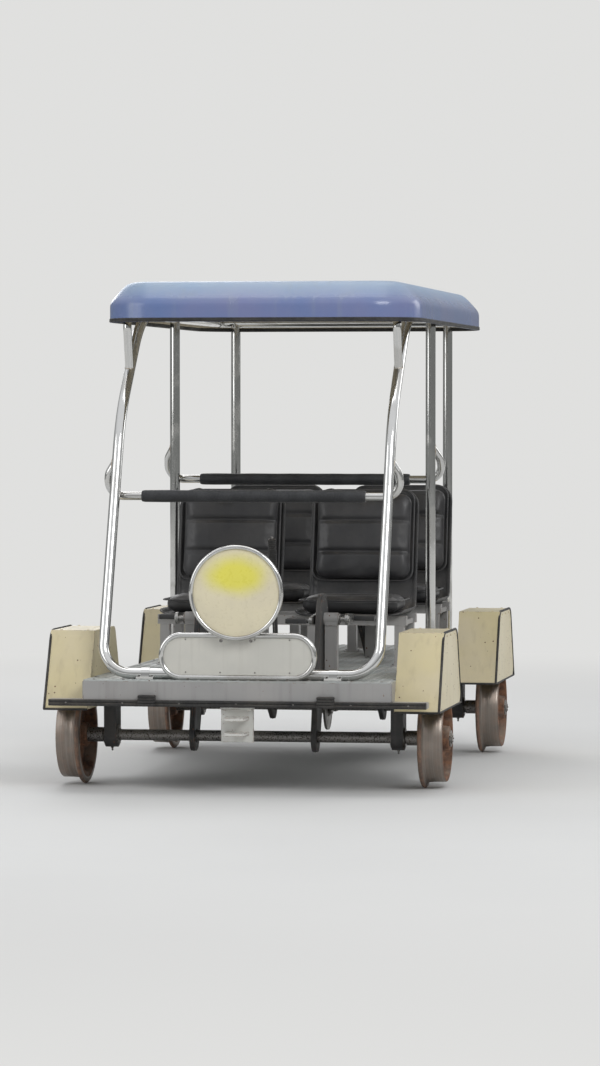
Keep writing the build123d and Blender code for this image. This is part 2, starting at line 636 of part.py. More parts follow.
def sign_plate(frame):
    """The blank plate that fills the sign frame."""
    middle = DECK_TOP + SIGN_HEIGHT / 2
    width, height = SIGN_WIDTH - 2 * SIGN_TUBE_RADIUS, SIGN_HEIGHT - 2 * SIGN_TUBE_RADIUS
    corner = min(SIGN_CORNER, height / 2 - 1)
    face = Plane(origin=(0, SIGN_Y + SIGN_PLATE_THICKNESS / 2, middle), x_dir=(1, 0, 0), z_dir=(0, -1, 0))
    plate = extrude(face * RectangleRounded(width, height, corner), amount=SIGN_PLATE_THICKNESS)
    return (plate - frame).solids().sort_by(SortBy.VOLUME)[-1]


def disc_ring(sign):
    """The round tube of the front disc, with two clamps to the sign frame's top."""
    ring = Pos(0, DISC_Y, DISC_Z) * Torus(DISC_RING_RADIUS, DISC_TUBE_RADIUS, rotation=(90, 0, 0))
    clamp_z = DISC_Z - sqrt(DISC_RING_RADIUS ** 2 - DISC_CLAMP_PLACE ** 2)
    sign_z = DECK_TOP + SIGN_HEIGHT - SIGN_TUBE_RADIUS
    for side in SIDES.values():
        middle = side * DISC_CLAMP_PLACE
        ring += block((middle - DISC_CLAMP_WIDTH / 2, middle + DISC_CLAMP_WIDTH / 2), (DISC_Y, SIGN_Y),
                      (min(clamp_z, sign_z) - DISC_TUBE_RADIUS, max(clamp_z, sign_z) + DISC_TUBE_RADIUS))
    return ring - sign


def disc_dome(ring):
    """The disc inside its ring: nearly flat in front and domed behind."""
    halves = []
    for way, depth in ((-1, DISC_FRONT_DEPTH), (1, DISC_BACK_DEPTH)):
        ball = (DISC_RING_RADIUS ** 2 + depth ** 2) / (2 * depth)
        keep = rod_y(0, (0, way * depth), 0, DISC_RING_RADIUS)
        halves.append((Pos(0, way * (depth - ball), 0) * Sphere(ball)) & keep)
    lens = Pos(0, DISC_Y, DISC_Z) * (halves[0] + halves[1])
    return (lens - ring).solids().sort_by(SortBy.VOLUME)[-1]


def stand_rails():
    """Two cross rails under each row, which carry both seats."""
    rails = []
    for foot in BACK_FEET.values():
        for setback in (STAND_FRONT_SETBACK, STAND_REAR_SETBACK):
            y = (foot - setback - STAND_TUBE / 2, foot - setback + STAND_TUBE / 2)
            rails.append(block((-STAND_HALF, STAND_HALF), y, (SEAT_PAN_BOTTOM - STAND_TUBE, SEAT_PAN_BOTTOM)))
    return Compound(rails)


def stand_legs():
    """Four legs under each cross rail."""
    legs = []
    for foot in BACK_FEET.values():
        for setback in (STAND_FRONT_SETBACK, STAND_REAR_SETBACK):
            y = (foot - setback - STAND_TUBE / 2, foot - setback + STAND_TUBE / 2)
            for side in SIDES.values():
                for place in STAND_LEG_SIDES:
                    x = (side * place - STAND_TUBE / 2, side * place + STAND_TUBE / 2)
                    legs.append(block(x, y, (DECK_TOP, SEAT_PAN_BOTTOM - STAND_TUBE)))
    return Compound(legs)


def stand_ties():
    """Four ties between the rails of each row, in line with the legs."""
    ties = []
    for foot in BACK_FEET.values():
        y = (foot - STAND_FRONT_SETBACK + STAND_TUBE / 2, foot - STAND_REAR_SETBACK - STAND_TUBE / 2)
        for side in SIDES.values():
            for place in STAND_LEG_SIDES:
                x = (side * place - STAND_TUBE / 2, side * place + STAND_TUBE / 2)
                ties.append(block(x, y, (SEAT_PAN_BOTTOM - STAND_TUBE, SEAT_PAN_BOTTOM - STAND_TUBE / 2)))
    return Compound(ties)


def seat_shells():
    """Four moulded shells, each a pan that curves up into a leaning back."""
    shells = []
    for foot in BACK_FEET.values():
        level = SEAT_PAN_BOTTOM + SEAT_SHELL / 2
        lean = radians(BACK_LEAN)
        for side in SIDES.values():
            x = side * SEAT_SIDE
            path = FilletPolyline((x, foot - SEAT_DEPTH, level), (x, foot, level),
                                  (x, foot + BACK_LENGTH * sin(lean), level + BACK_LENGTH * cos(lean)),
                                  radius=SEAT_BEND_RADIUS)
            start = Plane(origin=path @ 0, x_dir=(1, 0, 0), z_dir=path % 0)
            shells.append(sweep(start * Rectangle(SEAT_WIDTH, SEAT_SHELL), path=path).solid())
    return Compound(shells)


def seat_cushions():
    """Four seat cushions on the pans."""
    width, depth, thickness = CUSHION_SIZE
    cushions = []
    for foot in BACK_FEET.values():
        for side in SIDES.values():
            low_y = foot - SEAT_DEPTH + CUSHION_SETBACK
            low_z = SEAT_PAN_BOTTOM + SEAT_SHELL
            pad = block((side * SEAT_SIDE - width / 2, side * SEAT_SIDE + width / 2),
                        (low_y, low_y + depth), (low_z, low_z + thickness))
            upper = pad.edges().group_by(Axis.Z)[-1] + pad.edges().filter_by(Axis.Z)
            cushions.append(fillet(upper, CUSHION_CORNER).solid())
    return Compound(cushions)


def seat_backs():
    """Four back pads on the leaning part of the shells."""
    width, thickness, height = BACK_PAD_SIZE
    lean = radians(BACK_LEAN)
    pads = []
    for foot in BACK_FEET.values():
        for side in SIDES.values():
            pad = Box(width, thickness, height)
            front = pad.edges().group_by(Axis.Y)[0] + pad.edges().filter_by(Axis.Y)
            pad = fillet(front, CUSHION_CORNER)
            up = BACK_PAD_RISE + height / 2
            out = SEAT_SHELL / 2 + thickness / 2
            y = foot + up * sin(lean) - out * cos(lean)
            z = SEAT_PAN_BOTTOM + SEAT_SHELL / 2 + up * cos(lean) + out * sin(lean)
            pads.append((Pos(side * SEAT_SIDE, y, z) * Rot(-BACK_LEAN, 0, 0) * pad).solid())
    return Compound(pads)


def pedal_stands():
    """Four posts from the deck, each with a bored shell on top for a crank spindle."""
    stands = []
    for y in CRANK_PLACES.values():
        for side in SIDES.values():
            middle = side * SEAT_SIDE
            x = (middle - PEDAL_POST / 2, middle + PEDAL_POST / 2)
            post = block(x, (y - PEDAL_POST / 2, y + PEDAL_POST / 2), (DECK_TOP, CRANK_Z))
            shell_x = (side * (SEAT_SIDE - SHELL_HALF - SHELL_STEP), side * (SEAT_SIDE + SHELL_HALF))
            stand = post + rod_x(shell_x, y, CRANK_Z, SHELL_RADIUS)
            stand -= rod_x(shell_x, y, CRANK_Z, SPINDLE_RADIUS + RUNNING_FIT)
            stands.append(stand.solid())
    return Compound(stands)


def pedal_places(side, row):
    """Each pedal's place: its name, which way it lies from the seat's middle, and its centre."""
    places = []
    for name, across, along in (("inner", -side, -1), ("outer", side, 1)):
        x = side * SEAT_SIDE + across * (PEDAL_NEAR + PEDAL_FAR) / 2
        places.append((name, across, (x, CRANK_PLACES[row] + along * CRANK_LENGTH, CRANK_Z)))
    return places


def crank(side, row):
    """A spindle with an arm at each end, half a turn apart, and a pin for each pedal."""
    middle, y = side * SEAT_SIDE, CRANK_PLACES[row]
    whole = rod_x((middle - ARM_FAR, middle + ARM_FAR), y, CRANK_Z, SPINDLE_RADIUS)
    for name, across, (pedal_x, pedal_y, pedal_z) in pedal_places(side, row):
        outline = belt_outline((y, CRANK_Z), CRANK_HUB_RADIUS, (pedal_y, pedal_z), CRANK_EYE_RADIUS)
        whole += yz_prism(outline, (middle + across * ARM_NEAR, middle + across * ARM_FAR))
        whole += rod_x((middle + across * ARM_FAR, middle + across * PEDAL_FAR), pedal_y, pedal_z,
                       PEDAL_PIN_RADIUS)
    return whole


def pedal(centre):
    """A platform pedal with rounded edges, bored for its pin."""
    body = Box(*PEDAL_SIZE)
    body = fillet(body.edges().filter_by(Axis.X), PEDAL_EDGE)
    body -= Cylinder(PEDAL_PIN_RADIUS + RUNNING_FIT, PEDAL_SIZE[0] + BORE_OVERRUN, rotation=(0, 90, 0))
    return Pos(*centre) * body


def brake_lever():
    """A tube lever on a bored hub, with a fat grip."""
    arm = Cylinder(LEVER_RADIUS, LEVER_LENGTH, align=(Align.CENTER, Align.CENTER, Align.MIN))
    grip = Pos(0, 0, LEVER_LENGTH - LEVER_GRIP_LENGTH) * Cylinder(
        LEVER_GRIP_RADIUS, LEVER_GRIP_LENGTH, align=(Align.CENTER, Align.CENTER, Align.MIN))
    lever = Rot(-LEVER_LEAN, 0, 0) * (arm + grip)
    lever += rod_x((-LEVER_HUB_WIDTH / 2, LEVER_HUB_WIDTH / 2), 0, 0, LEVER_HUB_RADIUS)
    lever -= rod_x((-LEVER_HUB_WIDTH, LEVER_HUB_WIDTH), 0, 0, LEVER_PIN_RADIUS + RUNNING_FIT)
    return Pos(0, LEVER_Y, LEVER_PIVOT_Z) * lever


def brake_bracket():
    """Two cheek plates on a base, with the lever's pivot pin between them."""
    width, length, base = BRACKET_BASE
    bracket = block((-width / 2, width / 2), (LEVER_Y - length / 2, LEVER_Y + length / 2),
                    (DECK_TOP, DECK_TOP + base))
    near = LEVER_HUB_WIDTH / 2 + BRACKET_GAP
    for side in SIDES.values():
        bracket += block((side * near, side * (near + BRACKET_PLATE)),
                         (LEVER_Y - BRACKET_LENGTH / 2, LEVER_Y + BRACKET_LENGTH / 2),
                         (DECK_TOP, LEVER_PIVOT_Z + BRACKET_TOP))
    pin_half = near + BRACKET_PLATE + LEVER_PIN_TIP
    return bracket + rod_x((-pin_half, pin_half), LEVER_Y, LEVER_PIVOT_Z, LEVER_PIN_RADIUS)


def brake_caliper():
    """A slotted block over the brake disc's edge, on an arm from the last cross member."""
    across = (-CALIPER_HALF, CALIPER_HALF)
    caliper = block(across, CALIPER_Y, CALIPER_Z)
    caliper += block(across, (AXLE_PLACES["rear"] + CALIPER_ARM_REACH, END_CROSS + CROSS_DEPTH / 2),
                     (WHEEL_Z, FRAME_BOTTOM))
    slot = DISC_THICKNESS / 2 + CALIPER_SLOT_PLAY
    return caliper - rod_x((-slot, slot), AXLE_PLACES["rear"], WHEEL_Z, DISC_RADIUS + CALIPER_SLOT_PLAY)


def brake_cable():
    """The brake's cable in its housing, clipped under the cross members."""
    level = FRAME_BOTTOM - CABLE_RADIUS
    return bent_tube([(CABLE_SIDE, CABLE_START_Y, FRAME_TOP), (CABLE_SIDE, CABLE_START_Y, level),
                      (CABLE_SIDE, CABLE_END_Y, level), (CABLE_SIDE, CABLE_END_Y, CALIPER_Z[1])],
                     [CABLE_BEND, CABLE_BEND], CABLE_RADIUS)


def rear_reflectors():
    """Two round reflectors on the rear beam."""
    middle = FRAME_BOTTOM + STRIP_HEIGHT + REFLECTOR_RADIUS
    return both_sides(rod_y(REFLECTOR_SIDE, (FRAME_HALF, FRAME_HALF + REFLECTOR_DEPTH), middle,
                            REFLECTOR_RADIUS).solid())


tubes = canopy_frame()
middle_posts = standing_posts(POST_SIDE, MIDDLE_POST_Y, tubes)
sign = sign_frame(tubes)
ring = disc_ring(sign)
front_bar_y = post_y(FRONT_GRIP_Z) + GRIP_SETBACK
rear_bar_y = MIDDLE_POST_Y + GRIP_SETBACK

pieces = {
    "end_beams": end_beams(),
    "side_sills": side_sills(),
    "cross_members": cross_members(),
    "stringers": stringers(),
    "floor_deck": floor_deck(),
    "front_beam_rubber": beam_rubber(-1),
    "rear_beam_rubber": beam_rubber(1),
    "front_coupler": front_coupler(),
    "rear_coupler": rear_coupler(),
    "wheel_covers": wheel_covers(),
    "bearing_blocks": bearing_blocks(),
    "canopy_frame": tubes,
    "middle_posts": middle_posts,
    "rear_posts": rear_post_plates_trim(standing_posts(REAR_POST_SIDE, REAR_TUBE_Y, tubes)),
    "canopy_bows": canopy_bows(tubes),
    "canopy_shell": canopy_shell(),
    "front_grip_bar": grip_bar(front_bar_y, FRONT_GRIP_Z, post_y(FRONT_GRIP_Z + GRIP_RISE), tubes),
    "front_grip_sleeve": grip_sleeve(front_bar_y, FRONT_GRIP_Z),
    "rear_grip_bar": grip_bar(rear_bar_y, REAR_GRIP_Z, MIDDLE_POST_Y, middle_posts),
    "rear_grip_sleeve": grip_sleeve(rear_bar_y, REAR_GRIP_Z),
    "sign_frame": sign,
    "sign_plate": sign_plate(sign),
    "disc_ring": ring,
    "disc_dome": disc_dome(ring),
    "stand_rails": stand_rails(),
    "stand_legs": stand_legs(),
    "stand_ties": stand_ties(),
    "seat_shells": seat_shells(),
    "seat_cushions": seat_cushions(),
    "seat_backs": seat_backs(),
    "pedal_stands": pedal_stands(),
    "chain_cases": chain_cases(),
    "brake_bracket": brake_bracket(),
    "brake_lever": brake_lever(),
    "brake_caliper": brake_caliper(),
    "brake_cable": brake_cable(),
    "rear_reflectors": rear_reflectors(),
    "front_axle": axle(AXLE_PLACES["front"], braked=False),
    "front_wheels": wheels(AXLE_PLACES["front"]),
    "rear_axle": axle(AXLE_PLACES["rear"], braked=True),
    "rear_wheels": wheels(AXLE_PLACES["rear"]),
}
for row in CRANK_PLACES:
    for side_name, side in SIDES.items():
        pieces[f"crank_{row}_{side_name}"] = crank(side, row)
        for pedal_name, across, centre in pedal_places(side, row):
            pieces[f"pedal_{row}_{side_name}_{pedal_name}"] = pedal(centre)

os.makedirs("parts", exist_ok=True)
for node, shape in pieces.items():
    export_step(shape, f"parts/{node}.step")
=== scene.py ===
"""A four-seat pedal rail bike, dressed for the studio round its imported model.

Metres throughout, in the model's own frame: the front faces -Y, +X is the left-hand side, +Z is up.
"""

import math

import bmesh
import bpy
import numpy as np
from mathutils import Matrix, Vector


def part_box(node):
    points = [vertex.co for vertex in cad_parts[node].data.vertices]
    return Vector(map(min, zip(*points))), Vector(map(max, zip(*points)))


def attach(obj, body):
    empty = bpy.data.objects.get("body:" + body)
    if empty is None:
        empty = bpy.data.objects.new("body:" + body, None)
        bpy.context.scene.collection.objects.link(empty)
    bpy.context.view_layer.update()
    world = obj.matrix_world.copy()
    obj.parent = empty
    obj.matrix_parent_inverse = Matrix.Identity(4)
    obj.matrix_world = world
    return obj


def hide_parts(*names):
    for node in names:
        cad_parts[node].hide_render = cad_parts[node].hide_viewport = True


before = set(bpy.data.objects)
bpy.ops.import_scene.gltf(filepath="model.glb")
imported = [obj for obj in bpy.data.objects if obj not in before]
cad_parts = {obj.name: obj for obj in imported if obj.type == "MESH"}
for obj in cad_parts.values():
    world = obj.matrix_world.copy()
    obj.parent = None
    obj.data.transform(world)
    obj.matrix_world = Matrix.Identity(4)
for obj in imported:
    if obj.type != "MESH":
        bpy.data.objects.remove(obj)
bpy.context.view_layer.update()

# The studio: a level pale floor that fades into an even pale surrounding, under large soft lamps.
# The camera stands to the vehicle's front left and about 1.5 m above the rails, behind a lens long
# enough to fill the frame with the vehicle.
FLOOR_RINGS = (0.0, 2.0, 4.0, 8.0, 16.0, 40.0)
FLOOR_COLOUR = (0.72, 0.72, 0.71)
FLOOR_FADE = (2.6, 9.0)  # where the floor starts to fade, and where nothing of it is left
SURROUNDING = (0.745, 0.745, 0.735, 1.0)
SOFT_LIGHT = (0.95, 0.97, 1.0, 1.0)
SHINE_LOW = (0.20, 0.205, 0.20, 1.0)  # what gloss mirrors at the horizon, and high up
SHINE_HIGH = (0.92, 0.93, 0.95, 1.0)
CAMERA_PLACE = (3.06, -18.4, 1.515)
CAMERA_TARGET = (0.03, 0.0, 1.0)
CAMERA_LENS = 262.0
SENSOR_WIDTH = 36.0
WORLD_STRENGTH = 0.42
LAMPS = (  # name, place, aim, size, watts
    ("key", (4.6, -6.0, 5.4), (0.0, -0.2, 0.8), 3.4, 235.0),
    ("fill", (-5.5, -4.5, 3.4), (0.0, 0.0, 0.9), 4.0, 95.0),
    ("top", (0.0, 0.5, 6.4), (0.0, 0.0, 0.0), 4.5, 105.0),
    ("back", (-3.0, 6.5, 4.4), (0.0, 0.0, 1.0), 3.6, 120.0),
    ("rim", (5.5, 4.5, 3.6), (0.0, 0.0, 1.0), 3.0, 65.0),
)


def add(tree, kind, inputs=None, **settings):
    """Adds a node to a tree, with its settings, and sets or links its inputs."""
    made = tree.nodes.new(kind)
    for key, value in settings.items():
        setattr(made, key, value)
    for key, value in (inputs or {}).items():
        if isinstance(value, bpy.types.NodeSocket):
            tree.links.new(value, made.inputs[key])
        else:
            made.inputs[key].default_value = value
    return made


def maths(tree, operation, *values, clamp=False):
    """A math node's output."""
    return add(tree, "ShaderNodeMath", dict(enumerate(values)), operation=operation,
               use_clamp=clamp).outputs[0]


def mix(tree, factor, first, second, kind="MIX"):
    """The colour between two colours."""
    return add(tree, "ShaderNodeMix", {0: factor, 6: first, 7: second}, data_type="RGBA",
               blend_type=kind).outputs[2]


def ramp(tree, value, low, high, to_low=0.0, to_high=1.0):
    """A value mapped from one range to another, clamped, eased at both ends."""
    return add(tree, "ShaderNodeMapRange", {"Value": value, "From Min": low, "From Max": high,
                                            "To Min": to_low, "To Max": to_high},
               interpolation_type="SMOOTHSTEP").outputs["Result"]


def new_material(name, **numbers):
    """A material with nodes, and numbers on its shader's own sockets: it, its tree and its shader."""
    made = bpy.data.materials.new(name)
    made.use_nodes = True
    shader = made.node_tree.nodes["Principled BSDF"]
    for label, value in numbers.items():
        shader.inputs[label.replace("_", " ")].default_value = value
    return made, made.node_tree, shader


def feed(tree, shader, **sources):
    """Links sources to the shader's sockets. Names of sockets have underscores for spaces."""
    for label, source in sources.items():
        tree.links.new(source, shader.inputs[label.replace("_", " ")])


def spot_of(tree):
    """The place on the piece, as a socket."""
    return add(tree, "ShaderNodeTexCoord").outputs["Object"]


def parts_of(tree, vector):
    """A vector's X, Y and Z, as three sockets."""
    return add(tree, "ShaderNodeSeparateXYZ", {0: vector}).outputs


def noise(tree, spot, scale, detail=3.0, rough=0.5, stretch=None):
    """A noise value from 0 to 1 at a place, which may be stretched along the axes first."""
    if stretch:
        spot = add(tree, "ShaderNodeMapping", {"Vector": spot, "Scale": stretch}).outputs[0]
    return add(tree, "ShaderNodeTexNoise", {"Vector": spot, "Scale": scale, "Detail": detail,
                                            "Roughness": rough}).outputs["Fac"]


def grid_faces(rows, columns, wrap=False):
    """Quads between neighbouring points of a grid in row order. Wrap joins its last column to its first."""
    row = np.arange(rows - 1)[:, None] * columns
    column = np.arange(columns if wrap else columns - 1)[None, :]
    after = (column + 1) % columns
    return np.stack([row + column, row + after, row + columns + after, row + columns + column],
                    axis=-1).reshape(-1, 4)


def joined(shapes):
    """Several shapes as one. A shape is its points, and a list of arrays of faces."""
    points, faces, count = [], [], 0
    for shape_points, shape_faces in shapes:
        points.append(np.asarray(shape_points, float).reshape(-1, 3))
        faces += [np.asarray(block) + count for block in shape_faces]
        count += len(points[-1])
    return np.concatenate(points), faces


def mesh_object(name, shapes, finishes, sharp=38.0):
    """An object at the origin from shapes, with one finish, or a list with a finish for each shape.

    The faces' corners are strung in one array, with each face's start in another. Doubles are
    merged, faces turned outward, and edges that turn by more than an angle stay sharp.
    """
    if not isinstance(finishes, list):
        finishes = [finishes] * len(shapes)
    used = list(dict.fromkeys(finishes))
    points, faces = joined(shapes)
    corners = np.concatenate([block.ravel() for block in faces]).astype(np.int32)
    sizes = np.concatenate([np.full(len(block), block.shape[1]) for block in faces])
    starts = np.concatenate([[0], np.cumsum(sizes)[:-1]]).astype(np.int32)
    slots = np.concatenate([np.full(sum(len(block) for block in shape[1]), used.index(finish))
                            for shape, finish in zip(shapes, finishes)]).astype(np.int32)
    mesh = bpy.data.meshes.new(name)
    mesh.vertices.add(len(points))
    mesh.vertices.foreach_set("co", points.astype(np.float32).ravel())
    mesh.loops.add(len(corners))
    mesh.loops.foreach_set("vertex_index", corners)
    mesh.polygons.add(len(sizes))
    mesh.polygons.foreach_set("loop_start", starts)
    mesh.polygons.foreach_set("material_index", slots)
    mesh.update(calc_edges=True)
    shell = bmesh.new()
    shell.from_mesh(mesh)
    bmesh.ops.remove_doubles(shell, verts=shell.verts, dist=1e-6)
    bmesh.ops.recalc_face_normals(shell, faces=shell.faces)
    shell.to_mesh(mesh)
    shell.free()
    for finish in used:
        mesh.materials.append(finish)
    mesh.shade_smooth()
    mesh.set_sharp_from_angle(angle=math.radians(sharp))
    made = bpy.data.objects.new(name, mesh)
    bpy.context.scene.collection.objects.link(made)
    return made


def frame_of(direction):
    """Two unit vectors across a direction, and the direction, as the rows of a turn.

    Across X and Y the second points up. Across Z they are X and Y.
    """
    outward = np.asarray(direction, float) / np.linalg.norm(direction)
    helper = np.array([0.0, 0.0, 1.0]) if abs(outward[2]) < 0.9 else np.array([0.0, 1.0, 0.0])
    side = np.cross(helper, outward)
    side /= np.linalg.norm(side)
    return np.stack([side, np.cross(outward, side), outward])


def full_turn(sides):
    """Angles evenly round a circle."""
    return np.linspace(0.0, 2 * math.pi, sides, endpoint=False)


def spokes(angle, first, second):
    """Unit vectors at angles round a circle: cosine * first + sine * second."""
    return np.cos(angle)[:, None] * first + np.sin(angle)[:, None] * second


def turned(profile, centre, direction, sides):
    """A profile of (place along a direction, radius) turned about a line through a centre.

    A point is centre + place * direction + radius * (cosine * first + sine * second), with the
    two directions across the line. A radius of 0 makes a pole.
    """
    place, radius = np.asarray(profile, float).T
    first, second, outward = frame_of(direction)
    ring = spokes(full_turn(sides), first, second)
    points = np.asarray(centre, float) + place[:, None, None] * outward + radius[:, None, None] * ring
    return points.reshape(-1, 3), [grid_faces(len(place), sides, wrap=True)]


floor_paint, tree, shader = new_material("studio_paint", Roughness=0.75)
spot = spot_of(tree)
tint = ramp(tree, noise(tree, spot, 0.8), 0.3, 0.7, 0.99, 1.01)
shade = add(tree, "ShaderNodeVectorMath", {0: FLOOR_COLOUR, "Scale": tint},
            operation="SCALE").outputs["Vector"]
feed(tree, shader, Base_Color=shade)
reach = add(tree, "ShaderNodeVectorMath", {0: spot}, operation="LENGTH").outputs["Value"]
even = add(tree, "ShaderNodeEmission", {"Color": SURROUNDING, "Strength": 1.0})
faded = add(tree, "ShaderNodeMixShader",
            {0: ramp(tree, reach, *FLOOR_FADE), 1: shader.outputs[0], 2: even.outputs[0]})
tree.links.new(faded.outputs[0], tree.nodes["Material Output"].inputs["Surface"])
floor = mesh_object("studio_floor",
                    [turned([(0.0, radius) for radius in FLOOR_RINGS], (0, 0, 0), (0, 0, 1), 64)],
                    floor_paint)
if floor.data.polygons[0].normal.z < 0:
    floor.data.flip_normals()

world = bpy.data.worlds.new("studio_world")
bpy.context.scene.world = world
world.use_nodes = True
tree = world.node_tree
path = add(tree, "ShaderNodeLightPath")
direction = add(tree, "ShaderNodeTexCoord").outputs["Generated"]
height = parts_of(tree, direction)["Z"]
soft = tree.nodes["Background"]
soft.inputs["Color"].default_value = SOFT_LIGHT
soft.inputs["Strength"].default_value = WORLD_STRENGTH
pale = add(tree, "ShaderNodeBackground", {"Color": SURROUNDING, "Strength": 1.0})
sky = mix(tree, ramp(tree, height, -0.05, 0.75), SHINE_LOW, SHINE_HIGH)
seen = add(tree, "ShaderNodeBackground", {"Color": sky, "Strength": 1.0})
shine = maths(tree, "MAXIMUM", path.outputs["Is Glossy Ray"], path.outputs["Is Transmission Ray"])
shone = add(tree, "ShaderNodeMixShader", {0: shine, 1: soft.outputs[0], 2: seen.outputs[0]})
mixed = add(tree, "ShaderNodeMixShader",
            {0: path.outputs["Is Camera Ray"], 1: shone.outputs[0], 2: pale.outputs[0]})
tree.links.new(mixed.outputs[0], tree.nodes["World Output"].inputs["Surface"])


def aimed(place, aim):
    """The rotation that turns an object's -Z from a place towards an aim, with +Y kept up."""
    return (Vector(aim) - Vector(place)).to_track_quat("-Z", "Y").to_euler()


for lamp_name, place, aim, size, watts in LAMPS:
    lamp = bpy.data.lights.new("studio_" + lamp_name, "AREA")
    lamp.shape = "SQUARE"
    lamp.size = size
    lamp.energy = watts
    holder = bpy.data.objects.new("studio_" + lamp_name, lamp)
    holder.location = place
    holder.rotation_euler = aimed(place, aim)
    bpy.context.scene.collection.objects.link(holder)

camera_data = bpy.data.cameras.new("studio_camera")
camera_data.sensor_fit = "HORIZONTAL"
camera_data.sensor_width = SENSOR_WIDTH
camera_data.lens = CAMERA_LENS
camera_data.clip_end = 100.0
camera = bpy.data.objects.new("studio_camera", camera_data)
camera.location = CAMERA_PLACE
camera.rotation_euler = aimed(CAMERA_PLACE, CAMERA_TARGET)
bpy.context.scene.collection.objects.link(camera)
bpy.context.scene.camera = camera
bpy.context.scene.view_settings.view_transform = "Standard"

# The wheels: cast steel discs with a deep flange, turned treads and a bored hub, pressed on the axle.
# The castings rust at once, and the rails keep the treads and the flanges' throats bright.
WHEEL_SIDES = 96
RUST_DARK = (0.070, 0.034, 0.021, 1.0)
RUST_LIGHT = (0.235, 0.108, 0.055, 1.0)
TREAD_STEEL = (0.30, 0.27, 0.24, 1.0)
DUST_COLOUR = (0.36, 0.31, 0.25, 1.0)
NUMBER, COLOUR = "NodeSocketFloat", "NodeSocketColor"


def effect(name, inputs, outputs):
    """A shader node group with named inputs and outputs: it, its inputs' sockets, and its output node's."""
    group = bpy.data.node_groups.new(name, "ShaderNodeTree")
    for label, value in inputs:
        group.interface.new_socket(label, in_out="INPUT", socket_type=NUMBER).default_value = value
    for label, kind in outputs:
        group.interface.new_socket(label, in_out="OUTPUT", socket_type=kind)
    return group, group.nodes.new("NodeGroupInput").outputs, group.nodes.new("NodeGroupOutput").inputs


def place_effect(tree, group, **inputs):
    """Places a group in a tree and gives its outputs."""
    made = tree.nodes.new("ShaderNodeGroup")
    made.node_tree = group
    for label, value in inputs.items():
        made.inputs[label].default_value = value
    return made.outputs


# Blotches: two sizes of cloudy noise, from 0 to 1, for colour and gloss that vary over a surface.
blotches, given, gives = effect("blotches", [("Scale", 6.0), ("Detail", 5.0)],
                                [("Broad", NUMBER), ("Fine", NUMBER)])
spot = spot_of(blotches)
broad = noise(blotches, spot, given["Scale"], given["Detail"])
fine = noise(blotches, spot, maths(blotches, "MULTIPLY", given["Scale"], 9.0), 3.0)
blotches.links.new(ramp(blotches, broad, 0.32, 0.68), gives["Broad"])
blotches.links.new(ramp(blotches, fine, 0.30, 0.70), gives["Fine"])

# Road dust: settles on faces that look up and thickens towards the wheels.
settled_dust, given, gives = effect("settled_dust", [("Amount", 0.5)], [("Dust", NUMBER)])
facing = add(settled_dust, "ShaderNodeNewGeometry").outputs["Normal"]
spot = spot_of(settled_dust)
parts = parts_of(settled_dust, spot)
up = ramp(settled_dust, parts_of(settled_dust, facing)["Z"], -0.1, 1.0, 0.14, 1.0)
low = ramp(settled_dust, parts["Z"], 0.05, 0.75, 1.0, 0.30)
cloudy = ramp(settled_dust, noise(settled_dust, spot, 7.0, 7.0, 0.62), 0.36, 0.68)
layer = maths(settled_dust, "MULTIPLY", maths(settled_dust, "MULTIPLY", up, low), cloudy)
settled_dust.links.new(maths(settled_dust, "MULTIPLY", layer, given["Amount"], clamp=True), gives["Dust"])

# Rust: a pitted brown crust, as a colour and a height.
rust_crust, given, gives = effect("rust_crust", [("Scale", 30.0)], [("Colour", COLOUR), ("Height", NUMBER)])
spot = spot_of(rust_crust)
pits = noise(rust_crust, spot, given["Scale"], 8.0, 0.68)
rust_crust.links.new(mix(rust_crust, ramp(rust_crust, pits, 0.34, 0.66), RUST_DARK, RUST_LIGHT),
                     gives["Colour"])
rust_crust.links.new(pits, gives["Height"])


def bump(tree, shader, height, strength, distance):
    """Feeds a height to the shader's normal."""
    made = add(tree, "ShaderNodeBump", {"Height": height, "Strength": strength, "Distance": distance})
    tree.links.new(made.outputs["Normal"], shader.inputs["Normal"])


def fitted(name, shapes, finishes, body, replaces=(), sharp=38.0):
    """A piece of the vehicle: its object, riding on a body and the nodes it stands for."""
    made = mesh_object(name, shapes, finishes, sharp)
    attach(made, body)
    if replaces:
        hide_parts(*replaces)
    return made


wheel_low, wheel_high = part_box("front_wheels")
axle_z = (wheel_low[2] + wheel_high[2]) / 2
front_axle_y = (wheel_low[1] + wheel_high[1]) / 2
AXLE_LINES = {"front": front_axle_y, "rear": -front_axle_y}
hub_outside = wheel_high[0]
TREAD_RADIUS = 0.175
THROAT_RADIUS = 0.186
WHEEL_PROFILE = (  # distance in from the hub's outer face, radius
    (0.0, 0.0226), (0.0, 0.046), (0.004, 0.050), (0.048, 0.056), (0.052, 0.066), (0.055, 0.140),
    (0.050, 0.151), (0.012, 0.155), (0.010, 0.157), (0.010, 0.172), (0.013, 0.1745), (0.060, 0.1752),
    (0.082, 0.1772), (0.088, 0.182), (0.092, 0.194), (0.097, 0.1998), (0.103, 0.1998), (0.109, 0.193),
    (0.110, 0.180), (0.110, 0.157), (0.106, 0.153), (0.070, 0.150), (0.067, 0.140), (0.065, 0.066),
    (0.068, 0.056), (0.106, 0.050), (0.110, 0.046), (0.110, 0.0226), (0.0, 0.0226),
)

